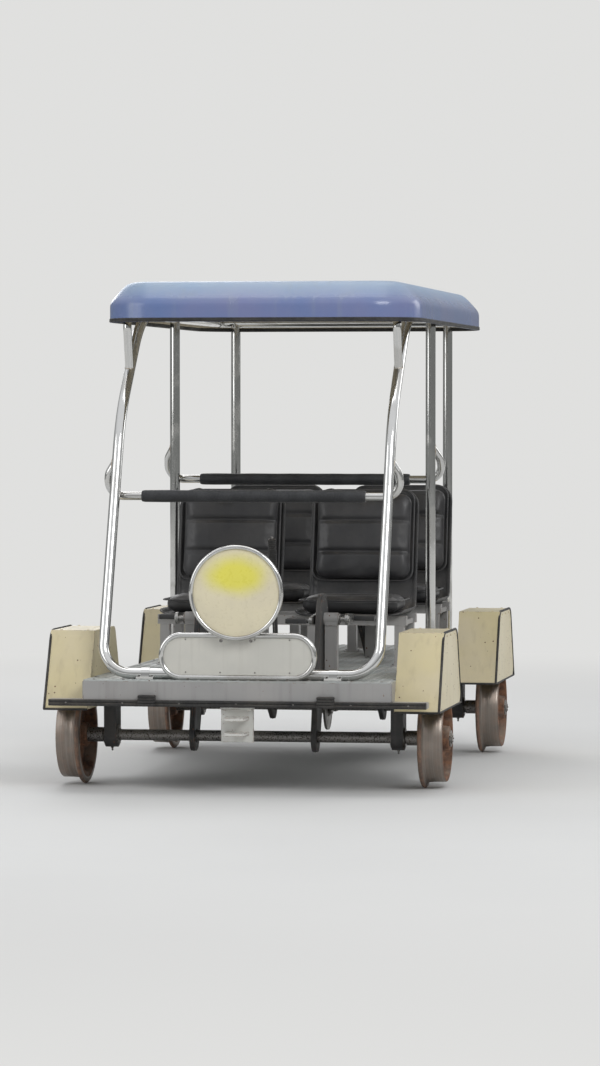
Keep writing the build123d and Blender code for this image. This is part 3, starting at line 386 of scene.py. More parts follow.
casting, tree, shader = new_material("wheel_casting")
parts = parts_of(tree, spot_of(tree))
along = maths(tree, "SUBTRACT", maths(tree, "ABSOLUTE", parts["Y"]), abs(front_axle_y))
rise = maths(tree, "SUBTRACT", parts["Z"], axle_z)
radius = maths(tree, "SQRT", maths(tree, "ADD", maths(tree, "MULTIPLY", along, along),
                                   maths(tree, "MULTIPLY", rise, rise)))
crust = place_effect(tree, rust_crust, Scale=26.0)
cloud = place_effect(tree, blotches, Scale=14.0)
tread = maths(tree, "MULTIPLY", ramp(tree, radius, TREAD_RADIUS - 0.004, TREAD_RADIUS - 0.001),
              ramp(tree, radius, THROAT_RADIUS + 0.004, THROAT_RADIUS + 0.010, 1.0, 0.30))
rolled = noise(tree, add(tree, "ShaderNodeCombineXYZ", {0: parts["X"], 1: radius}).outputs[0], 210.0, 2.0)
polish = maths(tree, "MULTIPLY", tread, ramp(tree, rolled, 0.25, 0.75, 0.55, 1.0))
rub = maths(tree, "MULTIPLY", ramp(tree, cloud["Broad"], 0.55, 1.0), 0.15)
bare = maths(tree, "MAXIMUM", polish, rub)
dust = place_effect(tree, settled_dust, Amount=0.55)["Dust"]
dusty = mix(tree, dust, crust["Colour"], DUST_COLOUR)
feed(tree, shader, Base_Color=mix(tree, bare, dusty, TREAD_STEEL),
     Metallic=ramp(tree, bare, 0.2, 0.9, 0.0, 0.9),
     Roughness=ramp(tree, bare, 0.0, 1.0, 0.88, 0.34))
bump(tree, shader, maths(tree, "MULTIPLY", crust["Height"], maths(tree, "SUBTRACT", 1.0, bare)), 0.7, 0.002)

for end, axle_y in AXLE_LINES.items():
    shapes = [turned(WHEEL_PROFILE, (side * hub_outside, axle_y, axle_z), (-side, 0, 0), WHEEL_SIDES)
              for side in (1, -1)]
    fitted(f"{end}_wheel_castings", shapes, casting, f"{end}_wheelset", [f"{end}_wheels"],
           sharp=50.0)

# The axles: turned bar with a collar inside each wheel, oiled and dusty. A round plate and three
# bolts hold each wheel on, inside a slotted lock ring. The rear axle carries the brake disc.
END_PLATE = ((0.0, 0.0), (0.0, 0.0205), (0.0008, 0.0215), (0.0034, 0.0215), (0.0042, 0.0205), (0.0042, 0.0))
LOCK_RING = ((-0.002, 0.0235), (0.0045, 0.0235), (0.0055, 0.0245), (0.0055, 0.0325), (0.0045, 0.0335),
             (-0.002, 0.0335), (-0.002, 0.0235))
WHEEL_BOLT = 0.0042
WHEEL_BOLT_RING = 0.0125
DISC_BOLT = 0.0048
DISC_BOLT_RING = 0.049
STEEL_DULL = (0.30, 0.29, 0.28, 1.0)
DISC_FACE = 0.005


def copied(shape, places, outward):
    """One shape made along +Z, turned to face outward and carried to every place, as whole arrays."""
    points, faces = shape
    places = np.asarray(places, float).reshape(-1, 3)
    copies = (points @ frame_of(outward))[None] + places[:, None]
    shifts = (np.arange(len(places)) * len(points))[:, None, None]
    return copies.reshape(-1, 3), [(block[None] + shifts).reshape(-1, block.shape[1]) for block in faces]


def bolt_heads(places, outward, size):
    """Hexagon heads on washers, all facing one way: one head, turned and carried to each place.

    A head is a six-sided turning with a chamfered rim, and its washer is an eighteen-sided one.
    Every measure is a share of the head's radius.
    """
    washer = turned(np.array([(-0.05, 0.0), (-0.05, 1.5), (0.14, 1.5), (0.2, 1.42), (0.2, 0.0)]) * size,
                    (0, 0, 0), (0, 0, 1), 18)
    head = turned(np.array([(0.15, 0.0), (0.15, 1.02), (0.8, 1.02), (0.95, 0.86), (0.95, 0.0)]) * size,
                  (0, 0, 0), (0, 0, 1), 6)
    return copied(joined([washer, head]), places, outward)


def ring_places(centre, direction, radius, count, start=0.0):
    """Places evenly round a circle about a centre, in the plane across a direction."""
    angle = start + np.arange(count) * (2 * math.pi / count)
    first, second, outward = frame_of(direction)
    return np.asarray(centre, float) + radius * spokes(angle, first, second)


def finish_node(node, material):
    """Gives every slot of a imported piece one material."""
    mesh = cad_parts[node].data
    if not mesh.materials:
        mesh.materials.append(material)
    for index in range(len(mesh.materials)):
        mesh.materials[index] = material


machined, tree, shader = new_material("machined_steel")
cloud = place_effect(tree, blotches, Scale=22.0)
dust = place_effect(tree, settled_dust, Amount=0.7)["Dust"]
steel = mix(tree, cloud["Broad"], (0.24, 0.23, 0.22, 1.0), STEEL_DULL)
steel = mix(tree, ramp(tree, cloud["Fine"], 0.55, 0.95), steel, (0.045, 0.036, 0.028, 1.0))
feed(tree, shader, Base_Color=mix(tree, dust, steel, DUST_COLOUR),
     Metallic=ramp(tree, dust, 0.0, 0.8, 0.9, 0.0),
     Roughness=ramp(tree, cloud["Broad"], 0.0, 1.0, 0.34, 0.58))
bump(tree, shader, cloud["Fine"], 0.25, 0.0006)

for end, axle_y in AXLE_LINES.items():
    finish_node(f"{end}_axle", machined)
    low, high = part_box(f"{end}_axle")
    shapes = []
    for side in (1, -1):
        tip = (side * high[0], axle_y, axle_z)
        plate_face = side * (high[0] + END_PLATE[-1][0])
        bolts = ring_places((plate_face, axle_y, axle_z), (side, 0, 0), WHEEL_BOLT_RING, 3)
        shapes += [turned(END_PLATE, tip, (side, 0, 0), 40), bolt_heads(bolts, (side, 0, 0), WHEEL_BOLT),
                   turned(LOCK_RING, (side * hub_outside, axle_y, axle_z), (side, 0, 0), 48)]
        if end == "rear":
            disc_bolts = ring_places((side * DISC_FACE, axle_y, axle_z), (side, 0, 0), DISC_BOLT_RING, 6)
            shapes.append(bolt_heads(disc_bolts, (side, 0, 0), DISC_BOLT))
    fitted(f"{end}_axle_fixings", shapes, machined, f"{end}_wheelset")

# Bearing housings: cast blocks bolted up under the sills, painted black once, now chalky with dust.
# Each has two foot bolts, a grease nipple below and an end cover held by four screws.
bearing_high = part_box("bearing_blocks")[1]
bearing_outside, frame_under = bearing_high[0], bearing_high[2]
BEARING_WIDTH = 0.050
BEARING_FOOT = 0.0160
FOOT_BOLT = 0.0095
FOOT_BOLT_STEP = 0.072
COVER_SCREW = 0.0034
COVER_SCREW_RING = 0.0330
NIPPLE_DROP = 0.050
END_COVER = ((-0.001, 0.0240), (0.0036, 0.0240), (0.0046, 0.0250), (0.0046, 0.0405), (0.0036, 0.0420),
             (-0.001, 0.0420), (-0.001, 0.0240))
NIPPLE = ((-0.002, 0.0), (-0.002, 0.006), (0.004, 0.006), (0.005, 0.0035), (0.010, 0.0035), (0.012, 0.0045),
          (0.015, 0.003), (0.016, 0.0))

# Worn edges: where a surface's rounded normal leaves its true one, broken up by noise.
worn_edges, given, gives = effect("worn_edges", [("Width", 0.004), ("Amount", 0.5)], [("Edge", NUMBER)])
rounded = add(worn_edges, "ShaderNodeBevel", {"Radius": given["Width"]}, samples=4).outputs[0]
facing = add(worn_edges, "ShaderNodeNewGeometry").outputs["Normal"]
agree = add(worn_edges, "ShaderNodeVectorMath", {0: rounded, 1: facing},
            operation="DOT_PRODUCT").outputs["Value"]
spot = spot_of(worn_edges)
breakup = noise(worn_edges, spot, 34.0, 5.0)
threshold = ramp(worn_edges, given["Amount"], 0.0, 1.0, 0.74, 0.34)
broken = maths(worn_edges, "MULTIPLY", maths(worn_edges, "SUBTRACT", breakup, threshold), 9.0, clamp=True)
edge = ramp(worn_edges, maths(worn_edges, "SUBTRACT", 1.0, agree), 0.015, 0.14)
worn_edges.links.new(maths(worn_edges, "MULTIPLY", edge, broken), gives["Edge"])

# Stone chips: small round spots, one to a cell of a cellular pattern, in the cells that a random
# value picks. A spot's size comes from a second random value.
stone_chips, given, gives = effect("stone_chips", [("Scale", 60.0), ("Amount", 0.1)], [("Chip", NUMBER)])
spot = spot_of(stone_chips)
wavy = add(stone_chips, "ShaderNodeVectorMath", {0: spot, 1: (0.01, 0.013, 0.007)},
           operation="ADD").outputs["Vector"]
cells = add(stone_chips, "ShaderNodeTexVoronoi", {"Vector": wavy, "Scale": given["Scale"]},
            feature="F1").outputs
chance = add(stone_chips, "ShaderNodeSeparateColor", {0: cells["Color"]}).outputs
picked = maths(stone_chips, "LESS_THAN", chance["Red"], given["Amount"])
size = maths(stone_chips, "MULTIPLY_ADD", chance["Green"], 0.26, 0.05)
inside = maths(stone_chips, "LESS_THAN", cells["Distance"], size)
stone_chips.links.new(maths(stone_chips, "MULTIPLY", picked, inside), gives["Chip"])

# Rain runs: soft streaks down a surface, from noise drawn out along Z.
rain_runs, given, gives = effect("rain_runs", [("Width", 30.0)], [("Run", NUMBER)])
spot = spot_of(rain_runs)
wide = add(rain_runs, "ShaderNodeCombineXYZ", {0: given["Width"], 1: given["Width"], 2: 1.7}).outputs[0]
drawn = add(rain_runs, "ShaderNodeVectorMath", {0: spot, 1: wide}, operation="MULTIPLY").outputs["Vector"]
rain_runs.links.new(ramp(rain_runs, noise(rain_runs, drawn, 1.0, 4.0), 0.50, 0.78), gives["Run"])


def screw_heads(places, outward, size):
    """Low round heads with a driver's recess, copied to each place like the bolts."""
    head = np.array([(-0.05, 0.0), (-0.05, 1.0), (0.18, 0.98), (0.42, 0.78), (0.52, 0.46), (0.30, 0.40),
                     (0.30, 0.0)])
    return copied(turned(head * size, (0, 0, 0), (0, 0, 1), 14), places, outward)


def painted(name, paint, faded, wear, dust_amount, gloss=(0.34, 0.5), chips=0.10, undercoat=None):
    """Paint on steel: faded in clouds, streaked by rain, chipped to rust at edges and in spots, dusty."""
    made, tree, shader = new_material(name)
    cloud = place_effect(tree, blotches, Scale=3.4)
    edge = place_effect(tree, worn_edges, Width=0.005, Amount=wear)["Edge"]
    chip = place_effect(tree, stone_chips, Scale=85.0, Amount=chips)["Chip"]
    run = place_effect(tree, rain_runs, Width=34.0)["Run"]
    crust = place_effect(tree, rust_crust, Scale=55.0)
    dust = place_effect(tree, settled_dust, Amount=dust_amount)["Dust"]
    coat = mix(tree, maths(tree, "MULTIPLY", cloud["Broad"], 0.55), paint, faded)
    coat = mix(tree, maths(tree, "MULTIPLY", run, 0.22), coat, undercoat or (0.10, 0.085, 0.07, 1.0))
    gone = maths(tree, "MAXIMUM", edge, chip)
    feed(tree, shader, Base_Color=mix(tree, dust, mix(tree, gone, coat, crust["Colour"]), DUST_COLOUR))
    rough = ramp(tree, cloud["Broad"], 0.0, 1.0, gloss[0], gloss[1])
    matt = maths(tree, "MULTIPLY", maths(tree, "MAXIMUM", gone, dust), 0.4)
    feed(tree, shader, Roughness=maths(tree, "ADD", rough, matt, clamp=True))
    peel = maths(tree, "ADD", maths(tree, "MULTIPLY", cloud["Fine"], 0.10),
                 maths(tree, "MULTIPLY", gone, maths(tree, "SUBTRACT", crust["Height"], 1.0)))
    bump(tree, shader, peel, 0.45, 0.001)
    return made


black_paint = painted("black_chassis_paint", (0.026, 0.027, 0.029, 1.0), (0.055, 0.055, 0.055, 1.0),
                      0.5, 0.75, gloss=(0.42, 0.62), undercoat=(0.13, 0.115, 0.095, 1.0))
finish_node("bearing_blocks", black_paint)
shapes = []
for axle_y in AXLE_LINES.values():
    for side in (1, -1):
        middle = side * (bearing_outside - BEARING_WIDTH / 2)
        feet = [(middle, axle_y + way * FOOT_BOLT_STEP, frame_under - BEARING_FOOT) for way in (-1, 1)]
        shapes.append(bolt_heads(feet, (0, 0, -1), FOOT_BOLT))
        for face, way in ((bearing_outside, side), (bearing_outside - BEARING_WIDTH, -side)):
            centre = (side * face, axle_y, axle_z)
            shapes.append(turned(END_COVER, centre, (way, 0, 0), 48))
            cover_face = side * face + way * END_COVER[2][0]
            screws = ring_places((cover_face, axle_y, axle_z), (way, 0, 0), COVER_SCREW_RING, 4, math.pi / 4)
            shapes.append(screw_heads(screws, (way, 0, 0), COVER_SCREW))
        shapes.append(turned(NIPPLE, (middle, axle_y, axle_z - NIPPLE_DROP), (0, 0, -1), 14))
fitted("bearing_fixings", shapes, machined, "chassis")

# The chassis: sills, stringers, cross members and beams of welded box tube, brushed with grey paint.
# Beads of weld show where they meet, and welded plates close the beams' ends and those of their lips.
frame_paint = painted("grey_frame_paint", (0.315, 0.312, 0.308, 1.0), (0.400, 0.385, 0.375, 1.0), 0.5, 0.5)
for node in ("end_beams", "side_sills", "cross_members", "stringers"):
    finish_node(node, frame_paint)
beam_low, beam_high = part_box("end_beams")
sill_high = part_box("side_sills")[1]
cross_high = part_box("cross_members")[1]
CROSS_MEMBERS = (-1.130, -0.430, 0.060, 0.400, 1.130)
CROSS_HALF = 0.025
STRINGER_SIDE = 0.290
STRINGER_HALF = 0.020
STRINGER_FOOT = beam_high[2] - 0.060
BEAM_DEPTH = 0.060
SILL_WIDTH = 0.060
LIP_TOP = beam_low[2] + 0.026
END_PLATE_THICKNESS = 0.004
END_PLATE_MARGIN = 0.0015
END_PLATE_CORNER = 0.004
BEAD_LIFT = 0.004
FRAME_BEAD = 0.0042
FRAME_BEAD_RUN = 0.092
STRINGER_BEAD = 0.0034
STRINGER_BEAD_RUN = 0.055
BEAD_PROUD = 0.0005  # how far a bead's middle stands off the faces that it joins


def capped(rings):
    """Closed loops of points joined in order, with a flat face over the first and one over the last."""
    rows, columns = np.shape(rings)[:2]
    ends = np.arange(columns) + np.array([[0], [(rows - 1) * columns]])
    return np.reshape(rings, (-1, 3)), [grid_faces(rows, columns, wrap=True), ends]


def tube(points, radius, sides=16, side=(1.0, 0.0, 0.0), wrap=False):
    """A round section carried along a path.

    At each point the section lies across the tangent: its first direction is the tangent crossed
    with a given side, its second is the tangent crossed with the first. An open tube has flat ends.
    """
    points = np.asarray(points, float)
    if wrap:
        tangent = np.roll(points, -1, axis=0) - np.roll(points, 1, axis=0)
    else:
        tangent = np.gradient(points, axis=0)
    tangent /= np.linalg.norm(tangent, axis=1, keepdims=True)
    first = np.cross(tangent, np.asarray(side, float))
    first /= np.linalg.norm(first, axis=1, keepdims=True)
    second = np.cross(tangent, first)
    radius = np.broadcast_to(np.asarray(radius, float), (len(points),))[:, None, None]
    rings = points[:, None] + radius * spokes(full_turn(sides), first[:, None], second[:, None])
    if wrap:
        rings = np.concatenate([rings, rings[:1]])
        return rings.reshape(-1, 3), [grid_faces(len(rings), sides, wrap=True)]
    return capped(rings)


def weld_bead(start, end, size, side=(0.0, 0.0, 1.0)):
    """A bead along a line, whose radius ripples with the passes of the torch."""
    start, end = np.asarray(start, float), np.asarray(end, float)
    length = np.linalg.norm(end - start)
    t = np.linspace(0.0, 1.0, max(8, int(length / 0.0024)))
    ripple = size * (0.86 + 0.14 * np.sin(t * length / 0.0066 * 2 * math.pi))
    ripple[[0, -1]] = size * 0.4
    return tube(start + (end - start) * t[:, None], ripple, sides=8, side=side)


def standing_bead(foot, run, size):
    """A bead that runs straight up from its foot."""
    return weld_bead(foot, np.asarray(foot, float) + [0, 0, run], size, side=(1, 0, 0))


def left_of(heading):
    """Unit vectors a quarter turn to the left of each heading of a flat line."""
    return np.stack([-heading[:, 1], heading[:, 0]], axis=1) / np.linalg.norm(heading, axis=1, keepdims=True)


def plate(outline, near, far, edge, axis):
    """A closed plate between two places along an axis, its outline a little smaller at both faces.

    The outline runs anticlockwise in the other two axes. Each point moves inward along the normal
    of the line between its neighbours.
    """
    outline = np.asarray(outline, float)
    along = np.roll(outline, -1, axis=0) - np.roll(outline, 1, axis=0)
    inward = left_of(along)
    step = math.copysign(edge, far - near)
    return capped([np.insert(outline + inward * inset, axis, place, axis=1) for inset, place in
                   ((edge, near), (0.0, near + step), (0.0, far - step), (edge, far))])


def rounded_loop(half_x, low_y, high_y, corner, steps=14, run=0):
    """A rounded rectangle, anticlockwise: a quarter circle at each corner, with points along its runs."""
    angle = np.concatenate([np.linspace(0, math.pi / 2, steps) + k * math.pi / 2 for k in range(4)])
    sign_x = np.repeat([1, -1, -1, 1], steps)
    centre_y = np.repeat([high_y - corner, high_y - corner, low_y + corner, low_y + corner], steps)
    arcs = np.stack([sign_x * (half_x - corner) + corner * np.cos(angle),
                     centre_y + corner * np.sin(angle)], axis=1).reshape(4, steps, 2)
    t = np.linspace(0.0, 1.0, run + 2)[1:-1][None, :, None]
    runs = arcs[:, -1:] * (1 - t) + np.roll(arcs[:, :1], -1, axis=0) * t
    return np.concatenate([arcs, runs], axis=1).reshape(-1, 2)


beads = []
for side in (1, -1):
    for cross_y in CROSS_MEMBERS:
        for way in (-1, 1):
            foot = (side * (cross_high[0] - 0.001), cross_y + way * CROSS_HALF, beam_low[2] + BEAD_LIFT)
            beads.append(standing_bead(foot, FRAME_BEAD_RUN, FRAME_BEAD))
            for line in (STRINGER_SIDE - STRINGER_HALF, STRINGER_SIDE + STRINGER_HALF):
                foot = (side * line, cross_y + way * (CROSS_HALF + BEAD_PROUD), STRINGER_FOOT + 0.003)
                beads.append(standing_bead(foot, STRINGER_BEAD_RUN, STRINGER_BEAD))
    for way, beam_y in ((1, beam_low[1] + BEAM_DEPTH), (-1, beam_high[1] - BEAM_DEPTH)):
        for line in (sill_high[0] + BEAD_PROUD, sill_high[0] - SILL_WIDTH - BEAD_PROUD):
            foot = (side * line, beam_y + way * BEAD_PROUD, beam_low[2] + BEAD_LIFT)
            beads.append(standing_bead(foot, FRAME_BEAD_RUN, FRAME_BEAD))
fitted("frame_weld_beads", beads, frame_paint, "chassis", sharp=60.0)

shapes = []
for side in (1, -1):
    for middle_y in (beam_low[1] + BEAM_DEPTH / 2, beam_high[1] - BEAM_DEPTH / 2):
        for face, foot, head in ((sill_high[0], LIP_TOP, beam_high[2]),
                                 (beam_high[0], beam_low[2], LIP_TOP)):
            outline = rounded_loop(BEAM_DEPTH / 2 - END_PLATE_MARGIN, foot + END_PLATE_MARGIN,
                                   head - END_PLATE_MARGIN, END_PLATE_CORNER, steps=4) + [middle_y, 0.0]
            shapes.append(plate(outline, side * (face - 0.001), side * (face + END_PLATE_THICKNESS),
                                0.0012, 0))
fitted("beam_end_plates", shapes, frame_paint, "chassis")

# The floor: five-millimetre steel tread plate, painted pale grey and trodden bare along its middle.
# Its pattern is rolled in as raised lozenges that turn one way and the other, and sunk screws hold it.
LOZENGE_PITCH = 0.0400
LOZENGE_SIZE = (0.0280, 0.0080, 0.0017)
SLOT_LINE = 0.250
SLOT_HALF = 0.034
SLOT_RUNS = ((-1.00, -0.73), (0.42, 0.83))
DECK_SCREW = 0.0058
SILL_SCREWS = np.arange(-1.20, 1.21, 0.30)
BEAM_SCREWS = (-0.58, -0.46, -0.20, 0.20, 0.46, 0.58)
SILL_SCREW_INSET = 0.014
BEAM_SCREW_INSET = 0.016
PATTERN_MARGIN = 0.004
STEEL_BRIGHT = (0.50, 0.49, 0.47, 1.0)
deck_low, deck_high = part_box("floor_deck")
deck_top = deck_high[2]

deck_plate, tree, shader = new_material("tread_plate")
parts = parts_of(tree, spot_of(tree))
cloud = place_effect(tree, blotches, Scale=2.6, Detail=8.0)
near = place_effect(tree, blotches, Scale=30.0)
dust = place_effect(tree, settled_dust, Amount=0.6)["Dust"]
edge = place_effect(tree, worn_edges, Width=0.002, Amount=0.85)["Edge"]
chip = place_effect(tree, stone_chips, Scale=70.0, Amount=0.10)["Chip"]
crust = place_effect(tree, rust_crust, Scale=60.0)
trodden = maths(tree, "MULTIPLY", ramp(tree, maths(tree, "ABSOLUTE", parts["X"]), 0.20, 0.62, 1.0, 0.15),
                ramp(tree, parts["Z"], deck_top + 0.0006, deck_top + 0.0015))
bare = maths(tree, "MAXIMUM", maths(tree, "MULTIPLY", edge, 0.8), maths(tree, "MULTIPLY", trodden, 0.75))
coat = mix(tree, cloud["Broad"], (0.47, 0.50, 0.49, 1.0), (0.33, 0.345, 0.34, 1.0))
coat = mix(tree, maths(tree, "MULTIPLY", ramp(tree, near["Fine"], 0.6, 1.0), 0.35), coat,
           (0.20, 0.19, 0.17, 1.0))
coat = mix(tree, chip, coat, crust["Colour"])
coat = mix(tree, bare, coat, STEEL_BRIGHT)
feed(tree, shader, Base_Color=mix(tree, maths(tree, "MULTIPLY", dust, 0.8), coat, DUST_COLOUR),
     Metallic=maths(tree, "MULTIPLY", bare, 0.85),
     Roughness=ramp(tree, cloud["Broad"], 0.0, 1.0, 0.42, 0.66))
bump(tree, shader, near["Fine"], 0.2, 0.0006)
finish_node("floor_deck", deck_plate)


def tread_pattern(low, high, top):
    """Raised lozenges on a square grid, every other one turned a quarter.

    One lozenge is an eight-point ellipse just under the plate and a smaller one above it, closed
    at both, with its length at 45 degrees. Its copies go to the grid's places as whole arrays.
    """
    angle = np.arange(8) * math.pi / 4
    across = np.arange(low[0] + LOZENGE_PITCH / 2, high[0], LOZENGE_PITCH)
    along = np.arange(low[1] + LOZENGE_PITCH / 2, high[1], LOZENGE_PITCH)
    column, row = np.meshgrid(np.arange(len(across)), np.arange(len(along)), indexing="ij")
    places = np.stack([across[column].ravel(), along[row].ravel(), np.full(column.size, top)], axis=1)
    odd = ((column + row) % 2).ravel() == 1
    clear = np.ones(len(places), bool)
    for start, end in SLOT_RUNS:
        beside = np.abs(np.abs(places[:, 0]) - SLOT_LINE) < SLOT_HALF
        clear &= ~(beside & (places[:, 1] > start) & (places[:, 1] < end))
    halves = []
    for chosen, heading in ((odd & clear, math.pi / 4), (~odd & clear, -math.pi / 4)):
        flat = np.stack([np.cos(angle) * LOZENGE_SIZE[0] / 2, np.sin(angle) * LOZENGE_SIZE[1] / 2], axis=1)
        cosine, sine = math.cos(heading), math.sin(heading)
        flat = flat @ np.array([[cosine, sine], [-sine, cosine]])
        lozenge = capped([np.column_stack([flat, np.full(8, -0.0005)]),
                          np.column_stack([flat * 0.62, np.full(8, LOZENGE_SIZE[2])])])
        halves.append(copied(lozenge, places[chosen], (0, 0, 1)))
    return joined(halves)


fitted("floor_tread_pattern",
       [tread_pattern((PATTERN_MARGIN - sill_high[0], deck_low[1] + PATTERN_MARGIN),
                      (sill_high[0] - PATTERN_MARGIN, deck_high[1] - PATTERN_MARGIN), deck_top)],
       deck_plate, "chassis")
screw_rows = [(side * (sill_high[0] - SILL_SCREW_INSET), y, deck_top) for side in (1, -1)
              for y in SILL_SCREWS]
screw_rows += [(x, y, deck_top) for y in (deck_low[1] + BEAM_SCREW_INSET, deck_high[1] - BEAM_SCREW_INSET)
               for x in BEAM_SCREWS]
fitted("floor_screws", [screw_heads(screw_rows, (0, 0, 1), DECK_SCREW)], machined, "chassis")

# Rubber along both beams: an extruded strip screwed to the beam's foot, with two buffer blocks
# whose faces are grooved.
STRIP_SECTION = (  # depth off the beam, height over its foot
    (0.0, 0.0), (0.0095, 0.0), (0.012, 0.003), (0.012, 0.009), (0.0085, 0.013),
    (0.012, 0.017), (0.012, 0.023), (0.0095, 0.026), (0.0, 0.026),
)
STRIP_SCREW = 0.0042
STRIP_SCREWS = np.arange(-0.69, 0.70, 0.23)
BUFFER_PLACE = 0.360
BUFFER_HALF = 0.035
BUFFER_REACH = 0.019
GROOVE_PITCH = 0.0112
GROOVE_RIB = 0.0095


def handled(name, scale, colours, wear, dust_amount, gloss):
    """A finish clouded from one colour to another, rubbed to a third along its edges, and dusty."""
    made, tree, shader = new_material(name)
    cloud = place_effect(tree, blotches, Scale=scale)
    edge = place_effect(tree, worn_edges, Width=0.003, Amount=wear)["Edge"]
    dust = place_effect(tree, settled_dust, Amount=dust_amount)["Dust"]
    worn = mix(tree, edge, mix(tree, cloud["Broad"], colours[0], colours[1]), colours[2])
    feed(tree, shader, Base_Color=mix(tree, dust, worn, DUST_COLOUR),
         Roughness=ramp(tree, cloud["Fine"], 0.0, 1.0, *gloss))
    return made, tree, shader, cloud, dust


black_rubber, tree, shader, cloud, dust = handled(
    "black_rubber", 12.0,
    ((0.013, 0.013, 0.014, 1.0), (0.028, 0.027, 0.026, 1.0), (0.075, 0.073, 0.070, 1.0)),
    0.4, 0.3, (0.55, 0.8))
bump(tree, shader, cloud["Fine"], 0.3, 0.0007)


def rounded_block(low, high, radius, steps=4):
    """A closed block with round edges.

    The directions of a sphere are kept in their eight octants. Each octant is moved out to its
    corner of the block, less the radius, so the gaps between the octants are the flat faces.
    """
    low, high = np.minimum(low, high).astype(float), np.maximum(low, high).astype(float)
    half, centre = (high - low) / 2, (high + low) / 2
    radius = min(radius, half.min() * 0.999)
    quarter = np.linspace(0.0, math.pi / 2, steps)
    turn = np.concatenate([quarter + k * math.pi / 2 for k in range(4)])
    turn_sign = np.repeat([[1, 1], [-1, 1], [-1, -1], [1, -1]], steps, axis=0)
    tilt = np.concatenate([quarter, quarter + math.pi / 2])
    shape = (len(tilt), len(turn))
    normal = np.stack([np.sin(tilt)[:, None] * np.cos(turn), np.sin(tilt)[:, None] * np.sin(turn),
                       np.broadcast_to(np.cos(tilt)[:, None], shape)], axis=-1)
    sign = np.stack([np.broadcast_to(turn_sign[:, 0], shape), np.broadcast_to(turn_sign[:, 1], shape),
                     np.broadcast_to(np.repeat([1, -1], steps)[:, None], shape)], axis=-1)
    points = centre + sign * (half - radius) + radius * normal
    ends = np.arange(4) * steps + np.array([[0], [(len(tilt) - 1) * len(turn)]])
    return points.reshape(-1, 3), [grid_faces(len(tilt), len(turn), wrap=True), ends]


for name, way in (("front_beam_rubber", -1), ("rear_beam_rubber", 1)):
    low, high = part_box(name)
    beam = beam_low[1] if way < 0 else beam_high[1]
    face = low[1] if way < 0 else high[1]
    section = np.array(STRIP_SECTION) * [way, 1.0] + [beam, low[2]]
    across = np.linspace(low[0], high[0], 30)
    shapes = [capped([np.insert(section, 0, x, axis=1) for x in across])]
    for middle in (-BUFFER_PLACE, BUFFER_PLACE):
        for foot in low[2] + 0.002 + GROOVE_PITCH * np.arange(4):
            shapes.append(rounded_block((middle - BUFFER_HALF, beam, foot),
                                        (middle + BUFFER_HALF, face, foot + GROOVE_RIB), 0.002, steps=3))
        shapes.append(rounded_block((middle - BUFFER_HALF + 0.002, beam, low[2] + 0.001),
                                    (middle + BUFFER_HALF - 0.002, beam + way * BUFFER_REACH, high[2]),
                                    0.002, steps=3))
    fitted(name + "_profile", shapes, black_rubber, "chassis", [name])
    groove_depth, groove_height = STRIP_SECTION[4]
    places = [(x, beam + way * (groove_depth + 0.0001), low[2] + groove_height) for x in STRIP_SCREWS]
    fitted(name + "_screws", [screw_heads(places, (0, way, 0), STRIP_SCREW)], machined, "chassis")

# Couplers: white-painted plate bolted under each beam, jaws in front and a tongue behind.
# The paint is knocked off round the pin holes.
COUPLER_BARS = {"front_coupler": ((0.240, 0.300), 0.045, 0.006), "rear_coupler": ((0.270,), 0.030, 0.008)}
COUPLER_FLANGE = 0.008
COUPLER_BOLT = 0.0072
COUPLER_BOLT_STEPS = (0.050, 0.018)
COUPLER_BEAD = 0.0034
WEB_HALF = 0.0065
white_paint = painted("white_coupler_paint", (0.70, 0.70, 0.67, 1.0), (0.58, 0.57, 0.53, 1.0), 0.75, 0.35,
                      chips=0.2)


def level_bead(middle, half, size):
    """A bead along X, to both sides of its middle."""
    return weld_bead(np.asarray(middle, float) - [half, 0, 0], np.asarray(middle, float) + [half, 0, 0], size)


for name, way in (("front_coupler", -1), ("rear_coupler", 1)):
    finish_node(name, white_paint)
    low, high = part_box(name)
    levels, half, bar = COUPLER_BARS[name]
    beam_middle = beam_low[1] + BEAM_DEPTH / 2 if way < 0 else beam_high[1] - BEAM_DEPTH / 2
    step_x, step_y = COUPLER_BOLT_STEPS
    places = [(x, beam_middle + y, high[2] - COUPLER_FLANGE)
              for x in (-step_x, step_x) for y in (-step_y, step_y)]
    shapes = [bolt_heads(places, (0, 0, -1), COUPLER_BOLT)]
    for level in levels:
        for face in (level - bar, level + bar):
            shapes.append(level_bead((0.0, beam_middle + way * WEB_HALF, face), half, COUPLER_BEAD))
    fitted(name + "_bolts_and_welds", shapes, white_paint, "chassis", sharp=45.0)

# Wheel covers: folded sheet boxes in cream paint over each wheel, bolted to the sills.
# A black rubber edging runs round the outer face, and rivets hold that face to the folded band.
cover_paint = painted("cream_cover_paint", (0.66, 0.575, 0.345, 1.0), (0.71, 0.630, 0.475, 1.0), 0.55, 0.45,
                      gloss=(0.28, 0.42), chips=0.07, undercoat=(0.34, 0.27, 0.15, 1.0))
finish_node("wheel_covers", cover_paint)
cover_low, cover_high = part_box("wheel_covers")
COVER_BOTTOM_HALF = 0.340
COVER_TOP_HALF = 0.200
COVER_CORNER = 0.045
COVER_SHEET = 0.003
COVER_EDGING = 0.0052
FOOT_EDGING = 0.0046
RIVET = 0.0045
RIVET_INSET = 0.016
STUD = 0.0052
STUD_LINES = (0.655, 0.765)
STUD_INSET = 0.030


